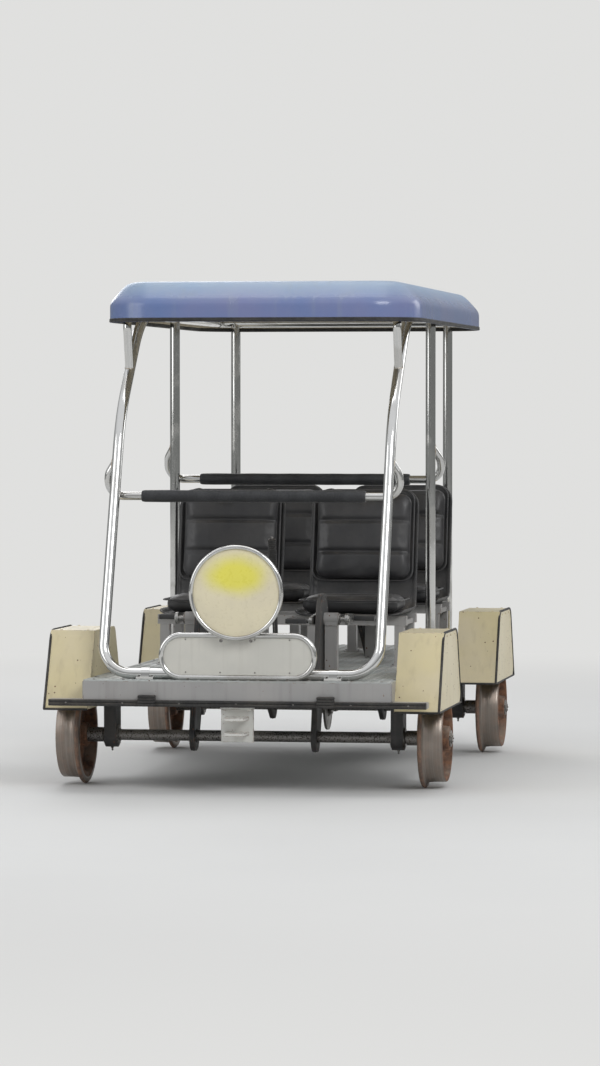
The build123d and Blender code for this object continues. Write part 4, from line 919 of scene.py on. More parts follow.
def softened(outline, radius, steps=4):
    """An open outline with each corner cut to a short curve.

    A corner's curve runs between the points at a distance from it along both its sides, as a
    parabola whose control point is the corner.
    """
    outline = np.asarray(outline, float)
    before, corner, after = outline[:-2], outline[1:-1], outline[2:]
    back, on = before - corner, after - corner
    back_length = np.linalg.norm(back, axis=1, keepdims=True)
    on_length = np.linalg.norm(on, axis=1, keepdims=True)
    start = corner + back / back_length * np.minimum(radius, back_length * 0.45)
    end = corner + on / on_length * np.minimum(radius, on_length * 0.45)
    t = np.linspace(0.0, 1.0, steps)[None, :, None]
    curve = (1 - t) ** 2 * start[:, None] + 2 * t * (1 - t) * corner[:, None] + t ** 2 * end[:, None]
    return np.concatenate([outline[:1], curve.reshape(-1, outline.shape[1]), outline[-1:]])


def lengths_along(line):
    """The distance along a line from its start to each of its points."""
    return np.concatenate([[0.0], np.cumsum(np.linalg.norm(np.diff(line, axis=0), axis=1))])


def read_at(line, steps, places):
    """A flat line's points at given distances along it, straight between the points it has."""
    return np.stack([np.interp(places, steps, line[:, axis]) for axis in (0, 1)], axis=1)


shapes, rivets, studs = [], [], []
for axle_y in AXLE_LINES.values():
    outline = np.array([(axle_y - COVER_BOTTOM_HALF, cover_low[2]),
                        (axle_y - COVER_TOP_HALF, cover_high[2]),
                        (axle_y + COVER_TOP_HALF, cover_high[2]),
                        (axle_y + COVER_BOTTOM_HALF, cover_low[2])])
    arch = softened(outline, COVER_CORNER, steps=8)
    steps = lengths_along(arch)
    arch = read_at(arch, steps, np.linspace(0.0, steps[-1], 120))
    inward = -left_of(np.gradient(arch, axis=0))
    for side in (1, -1):
        outer = side * (cover_high[0] - COVER_SHEET / 2)
        inner = side * (sill_high[0] + COVER_SHEET / 2)
        shapes.append(tube(np.insert(arch, 0, outer, axis=1), COVER_EDGING, sides=10))
        feet = [(x, y, cover_low[2]) for x in (outer, inner) for y in outline[[0, 3], 0]]
        for start, end in ((0, 1), (0, 2), (1, 3)):
            shapes.append(tube([feet[start], feet[end]], FOOT_EDGING, sides=10, side=(0, 0, 1)))
        rows = (arch + inward * RIVET_INSET)[8:-8:13]
        rivets.append(screw_heads(np.insert(rows, 0, side * cover_high[0], axis=1), (side, 0, 0), RIVET))
        studs += [(side * x, axle_y + way * (COVER_TOP_HALF - STUD_INSET), cover_high[2])
                  for x in STUD_LINES for way in (-1, 1)]
fitted("cover_rubber_edging", shapes, black_rubber, "chassis", sharp=60.0)
fitted("cover_rivets", rivets + [screw_heads(studs, (0, 0, 1), STUD)], cover_paint, "chassis")

# The canopy frame: polished stainless tube, bent cold from one run on each side, welded and wiped.
# Beads of weld show at each joint. Clamps hold the front loop down, and bolted plates the posts.
POST_RADIUS = 0.02135
STRUT_RADIUS = 0.017
POST_LEAN = math.radians(20.0)
STRUT_FOOT = (-0.7406, 1.685)
STRUT_LEAN = (0.0, -0.060, 0.240)
REAR_POST_SIDE = 0.490
FOOT_PLATE = 0.008
POST_BOLT = 0.0060
FOOT_BOLT_RING = 0.038
CLAMP_PLACE = 0.380
CLAMP_HEIGHT = 0.010
CLAMP_HALF_DEPTH = 0.032
CLAMP_BOLT = 0.0037
CLAMP_BOLT_STEPS = (0.026, 0.0255)
SADDLE_RADIUS = 0.0216
SADDLE_EARS = (0.0315, 0.0240)
SADDLE_SHEET = 0.0022
SADDLE_HALF = 0.017
BOW_PLACES = (-0.600, -0.170, 0.260, 0.690, 1.120)
BOW_RISE = (0.020, 0.115)
BOW_BEAD = 0.0026
BOW_BEAD_HALF = 0.0148
BOW_BEAD_PLACE = (0.0193, 0.0102)  # up from the rail's middle, and out to both sides of the bow
TUBE_BEAD = 0.0028
FOOT_BEAD = 0.0036
tube_low, tube_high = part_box("canopy_frame")
post_side = tube_high[0] - POST_RADIUS
foot_y = tube_low[1] + CLAMP_HALF_DEPTH
foot_z = deck_top + POST_RADIUS
rail_z = tube_high[2] - POST_RADIUS
rear_tube_y = tube_high[1] - POST_RADIUS
middle_low, middle_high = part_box("middle_posts")
middle_y = (middle_low[1] + middle_high[1]) / 2

polished, tree, shader = new_material("polished_stainless", Metallic=1.0)
cloud = place_effect(tree, blotches, Scale=7.0)
dust = place_effect(tree, settled_dust, Amount=0.35)["Dust"]
smear = ramp(tree, cloud["Broad"], 0.45, 1.0)
steel = mix(tree, smear, (0.63, 0.63, 0.62, 1.0), (0.55, 0.545, 0.53, 1.0))
feed(tree, shader, Base_Color=mix(tree, dust, steel, DUST_COLOUR),
     Roughness=maths(tree, "ADD", ramp(tree, smear, 0.0, 1.0, 0.09, 0.20),
                     maths(tree, "MULTIPLY", dust, 0.5)))
bump(tree, shader, cloud["Broad"], 0.03, 0.002)
for node in ("canopy_frame", "middle_posts", "rear_posts", "front_grip_bar", "rear_grip_bar", "sign_frame",
             "disc_ring"):
    finish_node(node, polished)

weld_steel, tree, shader = new_material("heat_tinted_weld", Metallic=1.0)
cloud = place_effect(tree, blotches, Scale=60.0)
feed(tree, shader, Base_Color=mix(tree, cloud["Broad"], (0.52, 0.50, 0.46, 1.0), (0.36, 0.29, 0.22, 1.0)),
     Roughness=ramp(tree, cloud["Fine"], 0.0, 1.0, 0.28, 0.45))


def ring_bead(path, turns, size, side):
    """A closed bead round a path, whose radius ripples as it goes round."""
    return tube(path, size * (0.88 + 0.12 * np.sin(turns * 30)), sides=8, side=side, wrap=True)


def saddle_weld(foot, branch, branch_radius, run, run_radius):
    """A rippled bead where the end of one tube meets the side of another.

    Points go round the branch's surface. Each is carried along the branch until it is the run's
    radius away from the run's centre line, which is the larger root of a quadratic.
    """
    first, second, branch = frame_of(branch)
    run = np.asarray(run, float) / np.linalg.norm(run)
    angle = full_turn(96)
    around = branch_radius * spokes(angle, first, second)
    across = around - (around @ run)[:, None] * run
    lean = branch - (branch @ run) * run
    square, half, rest = lean @ lean, across @ lean, (across ** 2).sum(axis=1) - run_radius ** 2
    reach = (np.sqrt(np.maximum(half ** 2 - square * rest, 0.0)) - half) / square
    path = np.asarray(foot, float) + around + reach[:, None] * branch
    return ring_bead(path, angle, TUBE_BEAD, branch)


def foot_weld(centre, radius):
    """A rippled ring of weld round a post where it stands on a plate."""
    angle = full_turn(90)
    path = np.asarray(centre, float) + radius * spokes(angle, *np.eye(3)[:2])
    return ring_bead(path, angle, FOOT_BEAD, (0, 0, 1))


def strap(path, thickness, near, far):
    """A bent flat strap between two places along X.

    Its side view in Y and Z is a line and the same line moved out along its averaged normals.
    """
    path = np.asarray(path, float)
    outer = path + left_of(np.gradient(path, axis=0)) * thickness
    rings = [np.insert(line, 0, x, axis=1)
             for line, x in ((path, near), (path, far), (outer, far), (outer, near), (path, near))]
    ends = np.arange(4) * len(path) + np.array([[0], [len(path) - 1]])
    return np.concatenate(rings), [grid_faces(5, len(path)), ends]


shapes, plate_bolts, clamp_bolts = [], [], []
for side in (1, -1):
    for foot, branch, radius, run in (
            ((side * post_side, middle_y, rail_z), (0, 0, -1), POST_RADIUS * 0.98, (0, 1, 0)),
            ((side * REAR_POST_SIDE, rear_tube_y, rail_z), (0, 0, -1), POST_RADIUS * 0.98, (1, 0, 0)),
            ((side * post_side, *STRUT_FOOT), STRUT_LEAN, STRUT_RADIUS, (0, 1, 1))):
        shapes.append(saddle_weld(foot, branch, radius, run, POST_RADIUS))
    rise = np.array([-side * BOW_RISE[0], 0.0, BOW_RISE[1]]) / math.hypot(*BOW_RISE)
    sideways = np.array([side * BOW_RISE[1], 0.0, BOW_RISE[0]]) / math.hypot(*BOW_RISE)
    for bow_y in BOW_PLACES:
        for way in (-1, 1):
            up, out = BOW_BEAD_PLACE
            spot = np.array([side * post_side, bow_y, rail_z]) + rise * up + sideways * way * out
            shapes.append(weld_bead(spot - [0, BOW_BEAD_HALF, 0], spot + [0, BOW_BEAD_HALF, 0], BOW_BEAD))
    for x, y, turns in ((side * post_side, middle_y, (45, 135, 225, 315)),
                        (side * REAR_POST_SIDE, rear_tube_y, (0, 180, 270))):
        shapes.append(foot_weld((x, y, deck_top + FOOT_PLATE), POST_RADIUS + 0.0012))
        turns = np.radians(turns)
        plate_bolts.append(np.column_stack([x + FOOT_BOLT_RING * np.cos(turns),
                                            y + FOOT_BOLT_RING * np.sin(turns),
                                            np.full(len(turns), deck_top + FOOT_PLATE)]))
    step_x, step_y = CLAMP_BOLT_STEPS
    clamp_bolts += [(side * CLAMP_PLACE + x, foot_y + y, deck_top + CLAMP_HEIGHT)
                    for x in (-step_x, step_x) for y in (-step_y, step_y)]
fitted("canopy_frame_welds", shapes, weld_steel, "chassis", sharp=60.0)
fitted("post_plate_bolts", [bolt_heads(np.concatenate(plate_bolts), (0, 0, 1), POST_BOLT),
                            bolt_heads(clamp_bolts, (0, 0, 1), CLAMP_BOLT)],
       machined, "chassis")

angle = np.linspace(math.pi, 0.0, 25)
pad_top = deck_top + CLAMP_HEIGHT + 0.0002
over = np.array([foot_y, foot_z]) + SADDLE_RADIUS * spokes(angle, *np.eye(2))
ears = [[(foot_y + way * SADDLE_EARS[0], pad_top), (foot_y + way * SADDLE_EARS[1], pad_top)]
        for way in (-1, 1)]
saddle = np.concatenate([ears[0], over, ears[1][::-1]])
fitted("front_loop_saddles",
       [strap(saddle, SADDLE_SHEET, side * CLAMP_PLACE - SADDLE_HALF, side * CLAMP_PLACE + SADDLE_HALF)
        for side in (1, -1)], polished, "chassis")

# Grip bars: bent chrome tube with a sleeve of black closed-cell foam slid over its straight run.
# The sleeve's ends are squeezed a little smaller where they are glued, and hands have dented it.
GRIP_RADIUS = 0.017
SLEEVE_RADIUS = 0.025
SLEEVE_SQUEEZE = 0.0030
HAND_DENT = 0.0006
GRIP_WELDS = (  # weld's Y and Z, the bar's way out of it, the post's way up
    (-0.9893, 1.325, (0.036, 0.0077, -0.057), (0.0, math.sin(POST_LEAN), math.cos(POST_LEAN))),
    (0.240, 1.375, (0.036, 0.035, -0.057), (0.0, 0.0, 1.0)),
)
foam, tree, shader = new_material("foam_sleeve", Sheen_Weight=0.12)
spot = spot_of(tree)
cells = add(tree, "ShaderNodeTexVoronoi", {"Vector": spot, "Scale": 900.0})
cloud = place_effect(tree, blotches, Scale=16.0)
feed(tree, shader,
     Base_Color=mix(tree, cloud["Broad"], (0.013, 0.014, 0.016, 1.0), (0.026, 0.027, 0.030, 1.0)),
     Roughness=ramp(tree, cloud["Fine"], 0.0, 1.0, 0.48, 0.70))
bump(tree, shader,
     maths(tree, "ADD", maths(tree, "MULTIPLY", cells.outputs["Distance"], 0.4), cloud["Fine"]),
     0.22, 0.0006)
for node in ("front_grip_sleeve", "rear_grip_sleeve"):
    low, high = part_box(node)
    centre = (0.0, (low[1] + high[1]) / 2, (low[2] + high[2]) / 2)
    along = np.concatenate([np.linspace(low[0], low[0] + 0.03, 10),
                            np.linspace(low[0] + 0.045, high[0] - 0.045, 70),
                            np.linspace(high[0] - 0.03, high[0], 10)])
    from_end = np.minimum(along - low[0], high[0] - along)
    dent = HAND_DENT * (1 + np.sin(along * 37.0 + centre[1])) / 2
    swell = SLEEVE_RADIUS - SLEEVE_SQUEEZE * np.exp(-from_end / 0.006) - dent
    ends = [(low[0], GRIP_RADIUS + 0.0002)], [(high[0], GRIP_RADIUS + 0.0002)]
    profile = np.concatenate([ends[0], np.column_stack([along, swell]), ends[1], ends[0]])
    fitted(node.replace("sleeve", "foam"), [turned(profile, centre, (1, 0, 0), 40)], foam, "chassis",
           [node], sharp=50.0)
fitted("grip_bar_welds",
       [saddle_weld((side * post_side, y, z), (side * out[0], out[1], out[2]), GRIP_RADIUS, up,
                    POST_RADIUS) for y, z, out, up in GRIP_WELDS for side in (1, -1)],
       weld_steel, "chassis", sharp=60.0)

# The sign: sheet riveted in the front tube frame, painted pale on both faces and blank, with a thin
# red line along its top on the side towards the seats.
SIGN_LINE_DROP = 0.012
SIGN_RIVET = 0.0032
SIGN_RIVETS = np.linspace(-0.21, 0.21, 4)
SIGN_RIVET_INSETS = (0.010, 0.006)  # over the plate's foot, and under its top
sign_low, sign_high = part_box("sign_plate")
sign_paint, tree, shader = new_material("sign_plate_paint", Coat_Weight=0.25)
parts = parts_of(tree, spot_of(tree))
facing = parts_of(tree, add(tree, "ShaderNodeNewGeometry").outputs["Normal"])
behind = ramp(tree, facing["Y"], 0.4, 0.6)
from_line = maths(tree, "ABSOLUTE", maths(tree, "SUBTRACT", parts["Z"], sign_high[2] - SIGN_LINE_DROP))
line = maths(tree, "MULTIPLY", ramp(tree, from_line, 0.0020, 0.0028, 1.0, 0.0), behind)
cloud = place_effect(tree, blotches, Scale=7.0)
run = place_effect(tree, rain_runs, Width=40.0)["Run"]
dust = place_effect(tree, settled_dust, Amount=0.8)["Dust"]
plain = mix(tree, behind, (0.615, 0.600, 0.545, 1.0), (0.66, 0.71, 0.75, 1.0))
plain = mix(tree, maths(tree, "MULTIPLY", cloud["Broad"], 0.22), plain, (0.46, 0.48, 0.46, 1.0))
plain = mix(tree, maths(tree, "MULTIPLY", run, 0.20), plain, (0.34, 0.32, 0.28, 1.0))
plain = mix(tree, line, plain, (0.55, 0.030, 0.030, 1.0))
feed(tree, shader, Base_Color=mix(tree, dust, plain, DUST_COLOUR),
     Roughness=ramp(tree, cloud["Fine"], 0.0, 1.0, 0.30, 0.44))
bump(tree, shader, cloud["Broad"], 0.08, 0.002)
finish_node("sign_plate", sign_paint)
rivets = [screw_heads([(x, face, z) for x in SIGN_RIVETS
                       for z in (sign_low[2] + SIGN_RIVET_INSETS[0], sign_high[2] - SIGN_RIVET_INSETS[1])],
                      (0, way, 0), SIGN_RIVET)
          for face, way in ((sign_low[1], -1), (sign_high[1], 1))]
fitted("sign_rivets", rivets, machined, "chassis")

# The round disc: a cream moulded front with a soft yellow patch at its top, and a dark glossy dome
# towards the seats, held together in a tube ring that is clamped to the sign's frame.
RING_TUBE = 0.009
DISC_DEPTHS = (0.018, 0.046)
PATCH_RISE = 0.070
PATCH_SIZE = (0.145, 1.0, 0.090)
RING_OUTSIDE = 0.190
DISC_RADIUS = 0.1725
DISC_CLAMP_BOLT = 0.0048
DISC_CLAMP_PLACE = (0.060, 0.190)  # to both sides of the disc's middle, and down from it
DISC_CLAMP_FACE = 0.0088
ring_low, ring_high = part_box("disc_ring")
disc_z = ring_high[2] - RING_OUTSIDE
disc_y = ring_low[1] + RING_TUBE

disc_front, tree, shader = new_material("disc_cream_front", Coat_Weight=0.35)
spot = spot_of(tree)
cloud = place_effect(tree, blotches, Scale=8.0)
centre = (0.0, disc_y, disc_z + PATCH_RISE)
away = add(tree, "ShaderNodeMapping", {"Vector": spot, "Location": centre, "Scale": PATCH_SIZE},
           vector_type="TEXTURE").outputs[0]
away = add(tree, "ShaderNodeVectorMath", {0: away}, operation="LENGTH").outputs["Value"]
wander = maths(tree, "MULTIPLY", maths(tree, "SUBTRACT", noise(tree, spot, 9.0, 1.0), 0.5), 0.35)
patch = ramp(tree, maths(tree, "ADD", away, wander), 0.40, 1.15, 1.0, 0.0)
cream = mix(tree, maths(tree, "MULTIPLY", cloud["Broad"], 0.5), (0.77, 0.70, 0.50, 1.0),
            (0.66, 0.60, 0.45, 1.0))
cream = mix(tree, maths(tree, "MULTIPLY", patch, 0.94), cream, (0.80, 0.74, 0.09, 1.0))
dust = place_effect(tree, settled_dust, Amount=0.7)["Dust"]
feed(tree, shader, Base_Color=mix(tree, dust, cream, DUST_COLOUR),
     Roughness=ramp(tree, cloud["Fine"], 0.0, 1.0, 0.26, 0.42))
bump(tree, shader, cloud["Broad"], 0.06, 0.002)

disc_back, tree, shader = new_material("disc_dark_dome", Coat_Weight=0.5)
chip = place_effect(tree, stone_chips, Scale=60.0, Amount=0.30)["Chip"]
cloud = place_effect(tree, blotches, Scale=10.0)
dust = place_effect(tree, settled_dust, Amount=0.5)["Dust"]
dark = mix(tree, cloud["Broad"], (0.018, 0.020, 0.018, 1.0), (0.040, 0.043, 0.036, 1.0))
dark = mix(tree, chip, dark, (0.40, 0.38, 0.34, 1.0))
feed(tree, shader, Base_Color=mix(tree, dust, dark, DUST_COLOUR),
     Roughness=ramp(tree, chip, 0.0, 1.0, 0.10, 0.6))
bump(tree, shader, cloud["Fine"], 0.05, 0.0008)

t = np.linspace(0.0, 1.0, 30)
domes = [turned(np.column_stack([depth * (1 - t ** 2) ** 0.9, t * DISC_RADIUS]), (0, disc_y, disc_z),
                (0, way, 0), 96) for way, depth in zip((-1, 1), DISC_DEPTHS)]
fitted("disc_lens", domes, [disc_front, disc_back], "chassis", ["disc_dome"], sharp=70.0)
clamp_x, clamp_drop = DISC_CLAMP_PLACE
places = [(x, ring_low[1] + DISC_CLAMP_FACE, disc_z - clamp_drop) for x in (-clamp_x, clamp_x)]
fitted("disc_clamp_bolts", [bolt_heads(places, (0, -1, 0), DISC_CLAMP_BOLT)], machined, "chassis")

# The canopy: one shell laid up in a mould, blue gelcoat outside and pale resin inside.
# A painted highlight lightens its top and shoulders, and a rubber edging is pressed over the rim.
CANOPY_CORNER = 0.220
CANOPY_WALL = 0.005
RIM_EDGING = ((0.0058, 0.0060), (0.0118, 0.0055))  # height over the rim's foot, radius
CORNER_CLOSING = 1.2  # how much faster than the sides the corners draw in
CANOPY_PROFILE = (  # inset from the rim, height over the rim's foot
    (0.000, 0.0000), (0.000, 0.0350), (0.000, 0.0680), (0.003, 0.0800), (0.010, 0.0925), (0.020, 0.1040),
    (0.036, 0.1210), (0.052, 0.1375), (0.066, 0.1500), (0.080, 0.1590), (0.098, 0.1645), (0.125, 0.1668),
    (0.180, 0.1678), (0.280, 0.1688), (0.420, 0.1695), (0.560, 0.1698), (0.650, 0.1700),
)
canopy_low, canopy_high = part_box("canopy_shell")


def canopy_skin(profile):
    """The rim's rounded rectangle, drawn smaller by each inset of a profile and lifted by its height.

    The last inset is half the width, so the last ring closes on the canopy's middle line.
    """
    rings = []
    for inset, height in profile:
        half = canopy_high[0] - inset
        corner = min(max(CANOPY_CORNER - inset * CORNER_CLOSING, 0.0), half)
        loop = rounded_loop(half, canopy_low[1] + inset, canopy_high[1] - inset, corner, run=10)
        rings.append(np.column_stack([loop, np.full(len(loop), canopy_low[2] + height)]))
    return np.concatenate(rings), [grid_faces(len(rings), len(rings[0]), wrap=True)]


outer_profile = softened(CANOPY_PROFILE, 0.012, steps=3)
outer_profile[-1, 0] = canopy_high[0]
inset, height = outer_profile.T
drop = np.where(height > 0.068, CANOPY_WALL, 0.0)
inner_profile = np.column_stack([np.minimum(inset + CANOPY_WALL, canopy_high[0]), height - drop])
rim_profile = np.array([outer_profile[0], inner_profile[0]])

gelcoat, tree, shader = new_material("canopy_gelcoat", Coat_Weight=0.18, Coat_Roughness=0.2)
parts = parts_of(tree, spot_of(tree))
cloud = place_effect(tree, blotches, Scale=2.2, Detail=7.0)
dust = place_effect(tree, settled_dust, Amount=0.9)["Dust"]
run = place_effect(tree, rain_runs, Width=22.0)["Run"]
blue = mix(tree, cloud["Broad"], (0.125, 0.190, 0.385, 1.0), (0.180, 0.205, 0.380, 1.0))
# Painted highlight: the blue is mixed towards a pale cyan by height over the rim, lightest on the top and
# shoulders.
painted_top_highlight = maths(tree, "MULTIPLY", ramp(tree, parts["Z"], canopy_low[2] + 0.075, canopy_high[2] - 0.010), 0.60)
blue = mix(tree, painted_top_highlight, blue, (0.31, 0.43, 0.53, 1.0))
wash = maths(tree, "MULTIPLY", run, 0.24)
blue = mix(tree, wash, blue, (0.27, 0.31, 0.34, 1.0))
feed(tree, shader, Base_Color=mix(tree, maths(tree, "MULTIPLY", dust, 0.5), blue, (0.40, 0.40, 0.37, 1.0)),
     Roughness=ramp(tree, maths(tree, "ADD", painted_top_highlight, wash), 0.0, 0.7, 0.22, 0.50))
bump(tree, shader, cloud["Broad"], 0.10, 0.004)

resin, tree, shader = new_material("canopy_inner_resin")
spot = spot_of(tree)
strands = noise(tree, add(tree, "ShaderNodeMapping", {"Vector": spot, "Rotation": (0.3, 0.1, 0.8),
                                                      "Scale": (60.0, 14.0, 60.0)}).outputs[0], 1.0, 6.0)
cloud = place_effect(tree, blotches, Scale=3.0)
inner = mix(tree, ramp(tree, strands, 0.35, 0.7), (0.62, 0.56, 0.43, 1.0), (0.50, 0.44, 0.33, 1.0))
inner = mix(tree, maths(tree, "MULTIPLY", cloud["Broad"], 0.35), inner, (0.38, 0.32, 0.23, 1.0))
feed(tree, shader, Base_Color=inner, Roughness=ramp(tree, cloud["Fine"], 0.0, 1.0, 0.45, 0.7))
bump(tree, shader, strands, 0.35, 0.0012)

fitted("canopy_moulding",
       [canopy_skin(outer_profile), canopy_skin(rim_profile), canopy_skin(inner_profile)],
       [gelcoat, gelcoat, resin], "chassis", ["canopy_shell"], sharp=60.0)

middle = CANOPY_WALL / 2
rim = rounded_loop(canopy_high[0] - middle, canopy_low[1] + middle, canopy_high[1] - middle,
                   CANOPY_CORNER - middle, steps=20, run=4)
fitted("canopy_rim_edging",
       [tube(np.insert(rim, 2, canopy_low[2] + height, axis=1), radius, sides=12, side=(0, 0, 1), wrap=True)
        for height, radius in RIM_EDGING],
       black_rubber, "chassis", sharp=60.0)
bow_paint = painted("bow_paint", (0.38, 0.39, 0.38, 1.0), (0.48, 0.48, 0.45, 1.0), 0.35, 0.2, chips=0.04)
finish_node("canopy_bows", bow_paint)

# Seat stands: square steel tube welded up and painted in the chassis grey. Beads of weld join the
# legs to the rails, and each leg stands on a small foot plate bolted through the deck.
STAND_TUBE = 0.040
STAND_LEGS = (-0.500, -0.130, 0.130, 0.500)
LEG_PITCH = 0.290
ROW_PITCH = 1.110
LEG_FOOT = (0.036, 0.031, 0.005)  # half width, half depth, thickness
LEG_BOLT = 0.0042
LEG_BOLT_STEP = 0.0285
LEG_BEAD = 0.0030
LEG_BEAD_HALF = 0.019
PLATE_CORNER = 0.008
PLATE_EDGE = 0.0008
for node in ("stand_legs", "stand_rails", "stand_ties"):
    finish_node(node, frame_paint)
legs_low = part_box("stand_legs")[0]
rails_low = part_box("stand_rails")[0]


def foot_plate(x, y, size):
    """A plate with round corners that lies on the deck, from its half width, half depth and thickness."""
    half_x, half_y, thickness = size
    outline = rounded_loop(half_x, -half_y, half_y, PLATE_CORNER, steps=4) + [x, y]
    return plate(outline, deck_top, deck_top + thickness, PLATE_EDGE, 2)


shapes, places = [], []
for row in (0, 1):
    for leg_y in (0.0, LEG_PITCH):
        y = legs_low[1] + STAND_TUBE / 2 + row * ROW_PITCH + leg_y
        for x in STAND_LEGS:
            shapes.append(foot_plate(x, y, LEG_FOOT))
            places += [(x + way * LEG_BOLT_STEP, y, deck_top + LEG_FOOT[2]) for way in (-1, 1)]
            for way in (-1, 1):
                top = (x, y + way * (STAND_TUBE / 2 - 0.001), rails_low[2] + BEAD_PROUD)
                shapes.append(level_bead(top, LEG_BEAD_HALF, LEG_BEAD))
fitted("seat_stand_feet", shapes, frame_paint, "chassis", sharp=45.0)
fitted("seat_stand_bolts", [bolt_heads(places, (0, 0, 1), LEG_BOLT)], machined, "chassis")

# Seat shells: moulded black plastic, a pan and a back in one, with turned-up sides and round corners.
# The plastic has a fine grain and pale scuffs along its edges.
SEAT_SIDE = 0.290
SEAT_HALF = 0.230
SEAT_DEPTH = 0.420
SEAT_BEND = 0.060
BACK_LENGTH = 0.530
BACK_LEAN = math.radians(12.0)
SHELL_WALL = 0.007
FRONT_ROUND = 0.045
TOP_ROUND = 0.075
PAN_LIFT = 0.004
LIP_RISE = 0.019
shells_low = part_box("seat_shells")[0]
pan_level = shells_low[2] + PAN_LIFT
ROW_FEET = (shells_low[1] + SEAT_DEPTH, shells_low[1] + SEAT_DEPTH + ROW_PITCH)

shell_plastic, tree, shader, cloud, dust = handled(
    "moulded_black_plastic", 8.0,
    ((0.024, 0.025, 0.027, 1.0), (0.042, 0.042, 0.043, 1.0), (0.14, 0.14, 0.14, 1.0)),
    0.6, 0.6, (0.42, 0.6))
grain = add(tree, "ShaderNodeTexVoronoi", {"Vector": spot_of(tree), "Scale": 520.0},
            feature="F1").outputs["Distance"]
bump(tree, shader, grain, 0.25, 0.0005)


def seat_shell(middle_x, foot):
    """A side view carried across the seat, with its sides turned up and its corners rounded.

    The side view is a level run, an arc and a leaning run, read at chosen distances along it. The
    half width shrinks by a quarter circle near both ends. A power curve turns up the outer part.
    """
    reach = SEAT_BEND * math.tan((math.pi / 2 - BACK_LEAN) / 2)
    lean = np.array([math.sin(BACK_LEAN), math.cos(BACK_LEAN)])
    heading = np.linspace(0.0, math.pi / 2 - BACK_LEAN, 14)
    arc = np.stack([-reach + SEAT_BEND * np.sin(heading), SEAT_BEND * (1 - np.cos(heading))], axis=1)
    view = np.concatenate([[(-SEAT_DEPTH, 0.0)], arc, [lean * BACK_LENGTH]])
    steps = lengths_along(view)
    near = 1 - np.cos(np.linspace(0.0, math.pi / 2, 9))
    along = np.concatenate([FRONT_ROUND * near,
                            np.linspace(FRONT_ROUND + 0.010, steps[-1] - TOP_ROUND - 0.010, 44),
                            steps[-1] - TOP_ROUND * near[::-1]])
    path = read_at(view, steps, along)
    facing = left_of(np.gradient(path, axis=0))
    front = np.clip(1 - along / FRONT_ROUND, 0, 1)
    top = np.clip(1 - (steps[-1] - along) / TOP_ROUND, 0, 1)
    half = (SEAT_HALF - FRONT_ROUND * (1 - np.sqrt(1 - front ** 2))
            - TOP_ROUND * (1 - np.sqrt(1 - top ** 2)))
    across = np.linspace(-1.0, 1.0, 41)
    lip = LIP_RISE * np.clip((np.abs(across) - 0.88) / 0.12, 0, 1)[None, :] ** 1.6
    lip = lip * (1 - 0.8 * np.maximum(front, top))[:, None]
    x = middle_x + half[:, None] * across
    y = foot + path[:, :1] + facing[:, :1] * lip
    z = pan_level + path[:, 1:] + facing[:, 1:] * lip
    return np.stack([x, y, z], axis=-1).reshape(-1, 3), [grid_faces(len(path), len(across))]


shells = fitted("seat_moulded_shells",
                [seat_shell(side * SEAT_SIDE, foot) for foot in ROW_FEET for side in (1, -1)],
                shell_plastic, "chassis", ["seat_shells"], sharp=60.0)
wall = shells.modifiers.new("wall", "SOLIDIFY")
wall.thickness = SHELL_WALL
wall.offset = 0.0

# Seat pads: foam in black vinyl with a welted edge and two pressed channels, glued in the shells.
# The vinyl is pebbled, creased between the channels and rubbed paler along its edges.
CUSHION_SIZE = (0.220, 0.1675, 0.075)  # half width, half length, thickness
BACK_SIZE = (0.220, 0.200, 0.064)
BACK_RISE = 0.318
CUSHION_CHANNELS = (-0.055, 0.065)
BACK_CHANNELS = (-0.070, 0.065)
CHANNEL_DEPTH = 0.011
CHANNEL_WIDTH = 0.009
PAD_BULGE = 0.045
PAD_CORNER = 0.050
PAD_CROWN = 0.006
PAD_SHRINK = 0.007
PAD_GROWTH = 0.011
PAD_GRID = 0.0080
WELT_RADIUS = 0.0036
cushion_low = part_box("seat_cushions")[0]

vinyl, tree, shader = new_material("black_vinyl", Sheen_Weight=0.06)
spot = spot_of(tree)
pebble = add(tree, "ShaderNodeTexVoronoi", {"Vector": spot, "Scale": 420.0},
             feature="SMOOTH_F1").outputs["Distance"]
crease = noise(tree, spot, 45.0, 6.0, 0.6)
cloud = place_effect(tree, blotches, Scale=5.0)
edge = place_effect(tree, worn_edges, Width=0.006, Amount=0.4)["Edge"]
dust = place_effect(tree, settled_dust, Amount=0.30)["Dust"]
hide = mix(tree, cloud["Broad"], (0.020, 0.020, 0.022, 1.0), (0.038, 0.038, 0.040, 1.0))
hide = mix(tree, maths(tree, "MULTIPLY", edge, 0.5), hide, (0.12, 0.115, 0.11, 1.0))
feed(tree, shader, Base_Color=mix(tree, dust, hide, DUST_COLOUR),
     Roughness=ramp(tree, cloud["Broad"], 0.0, 1.0, 0.36, 0.54))
relief = maths(tree, "ADD", maths(tree, "MULTIPLY", pebble, 0.5), maths(tree, "MULTIPLY", crease, 0.5))
bump(tree, shader, relief, 0.35, 0.0011)


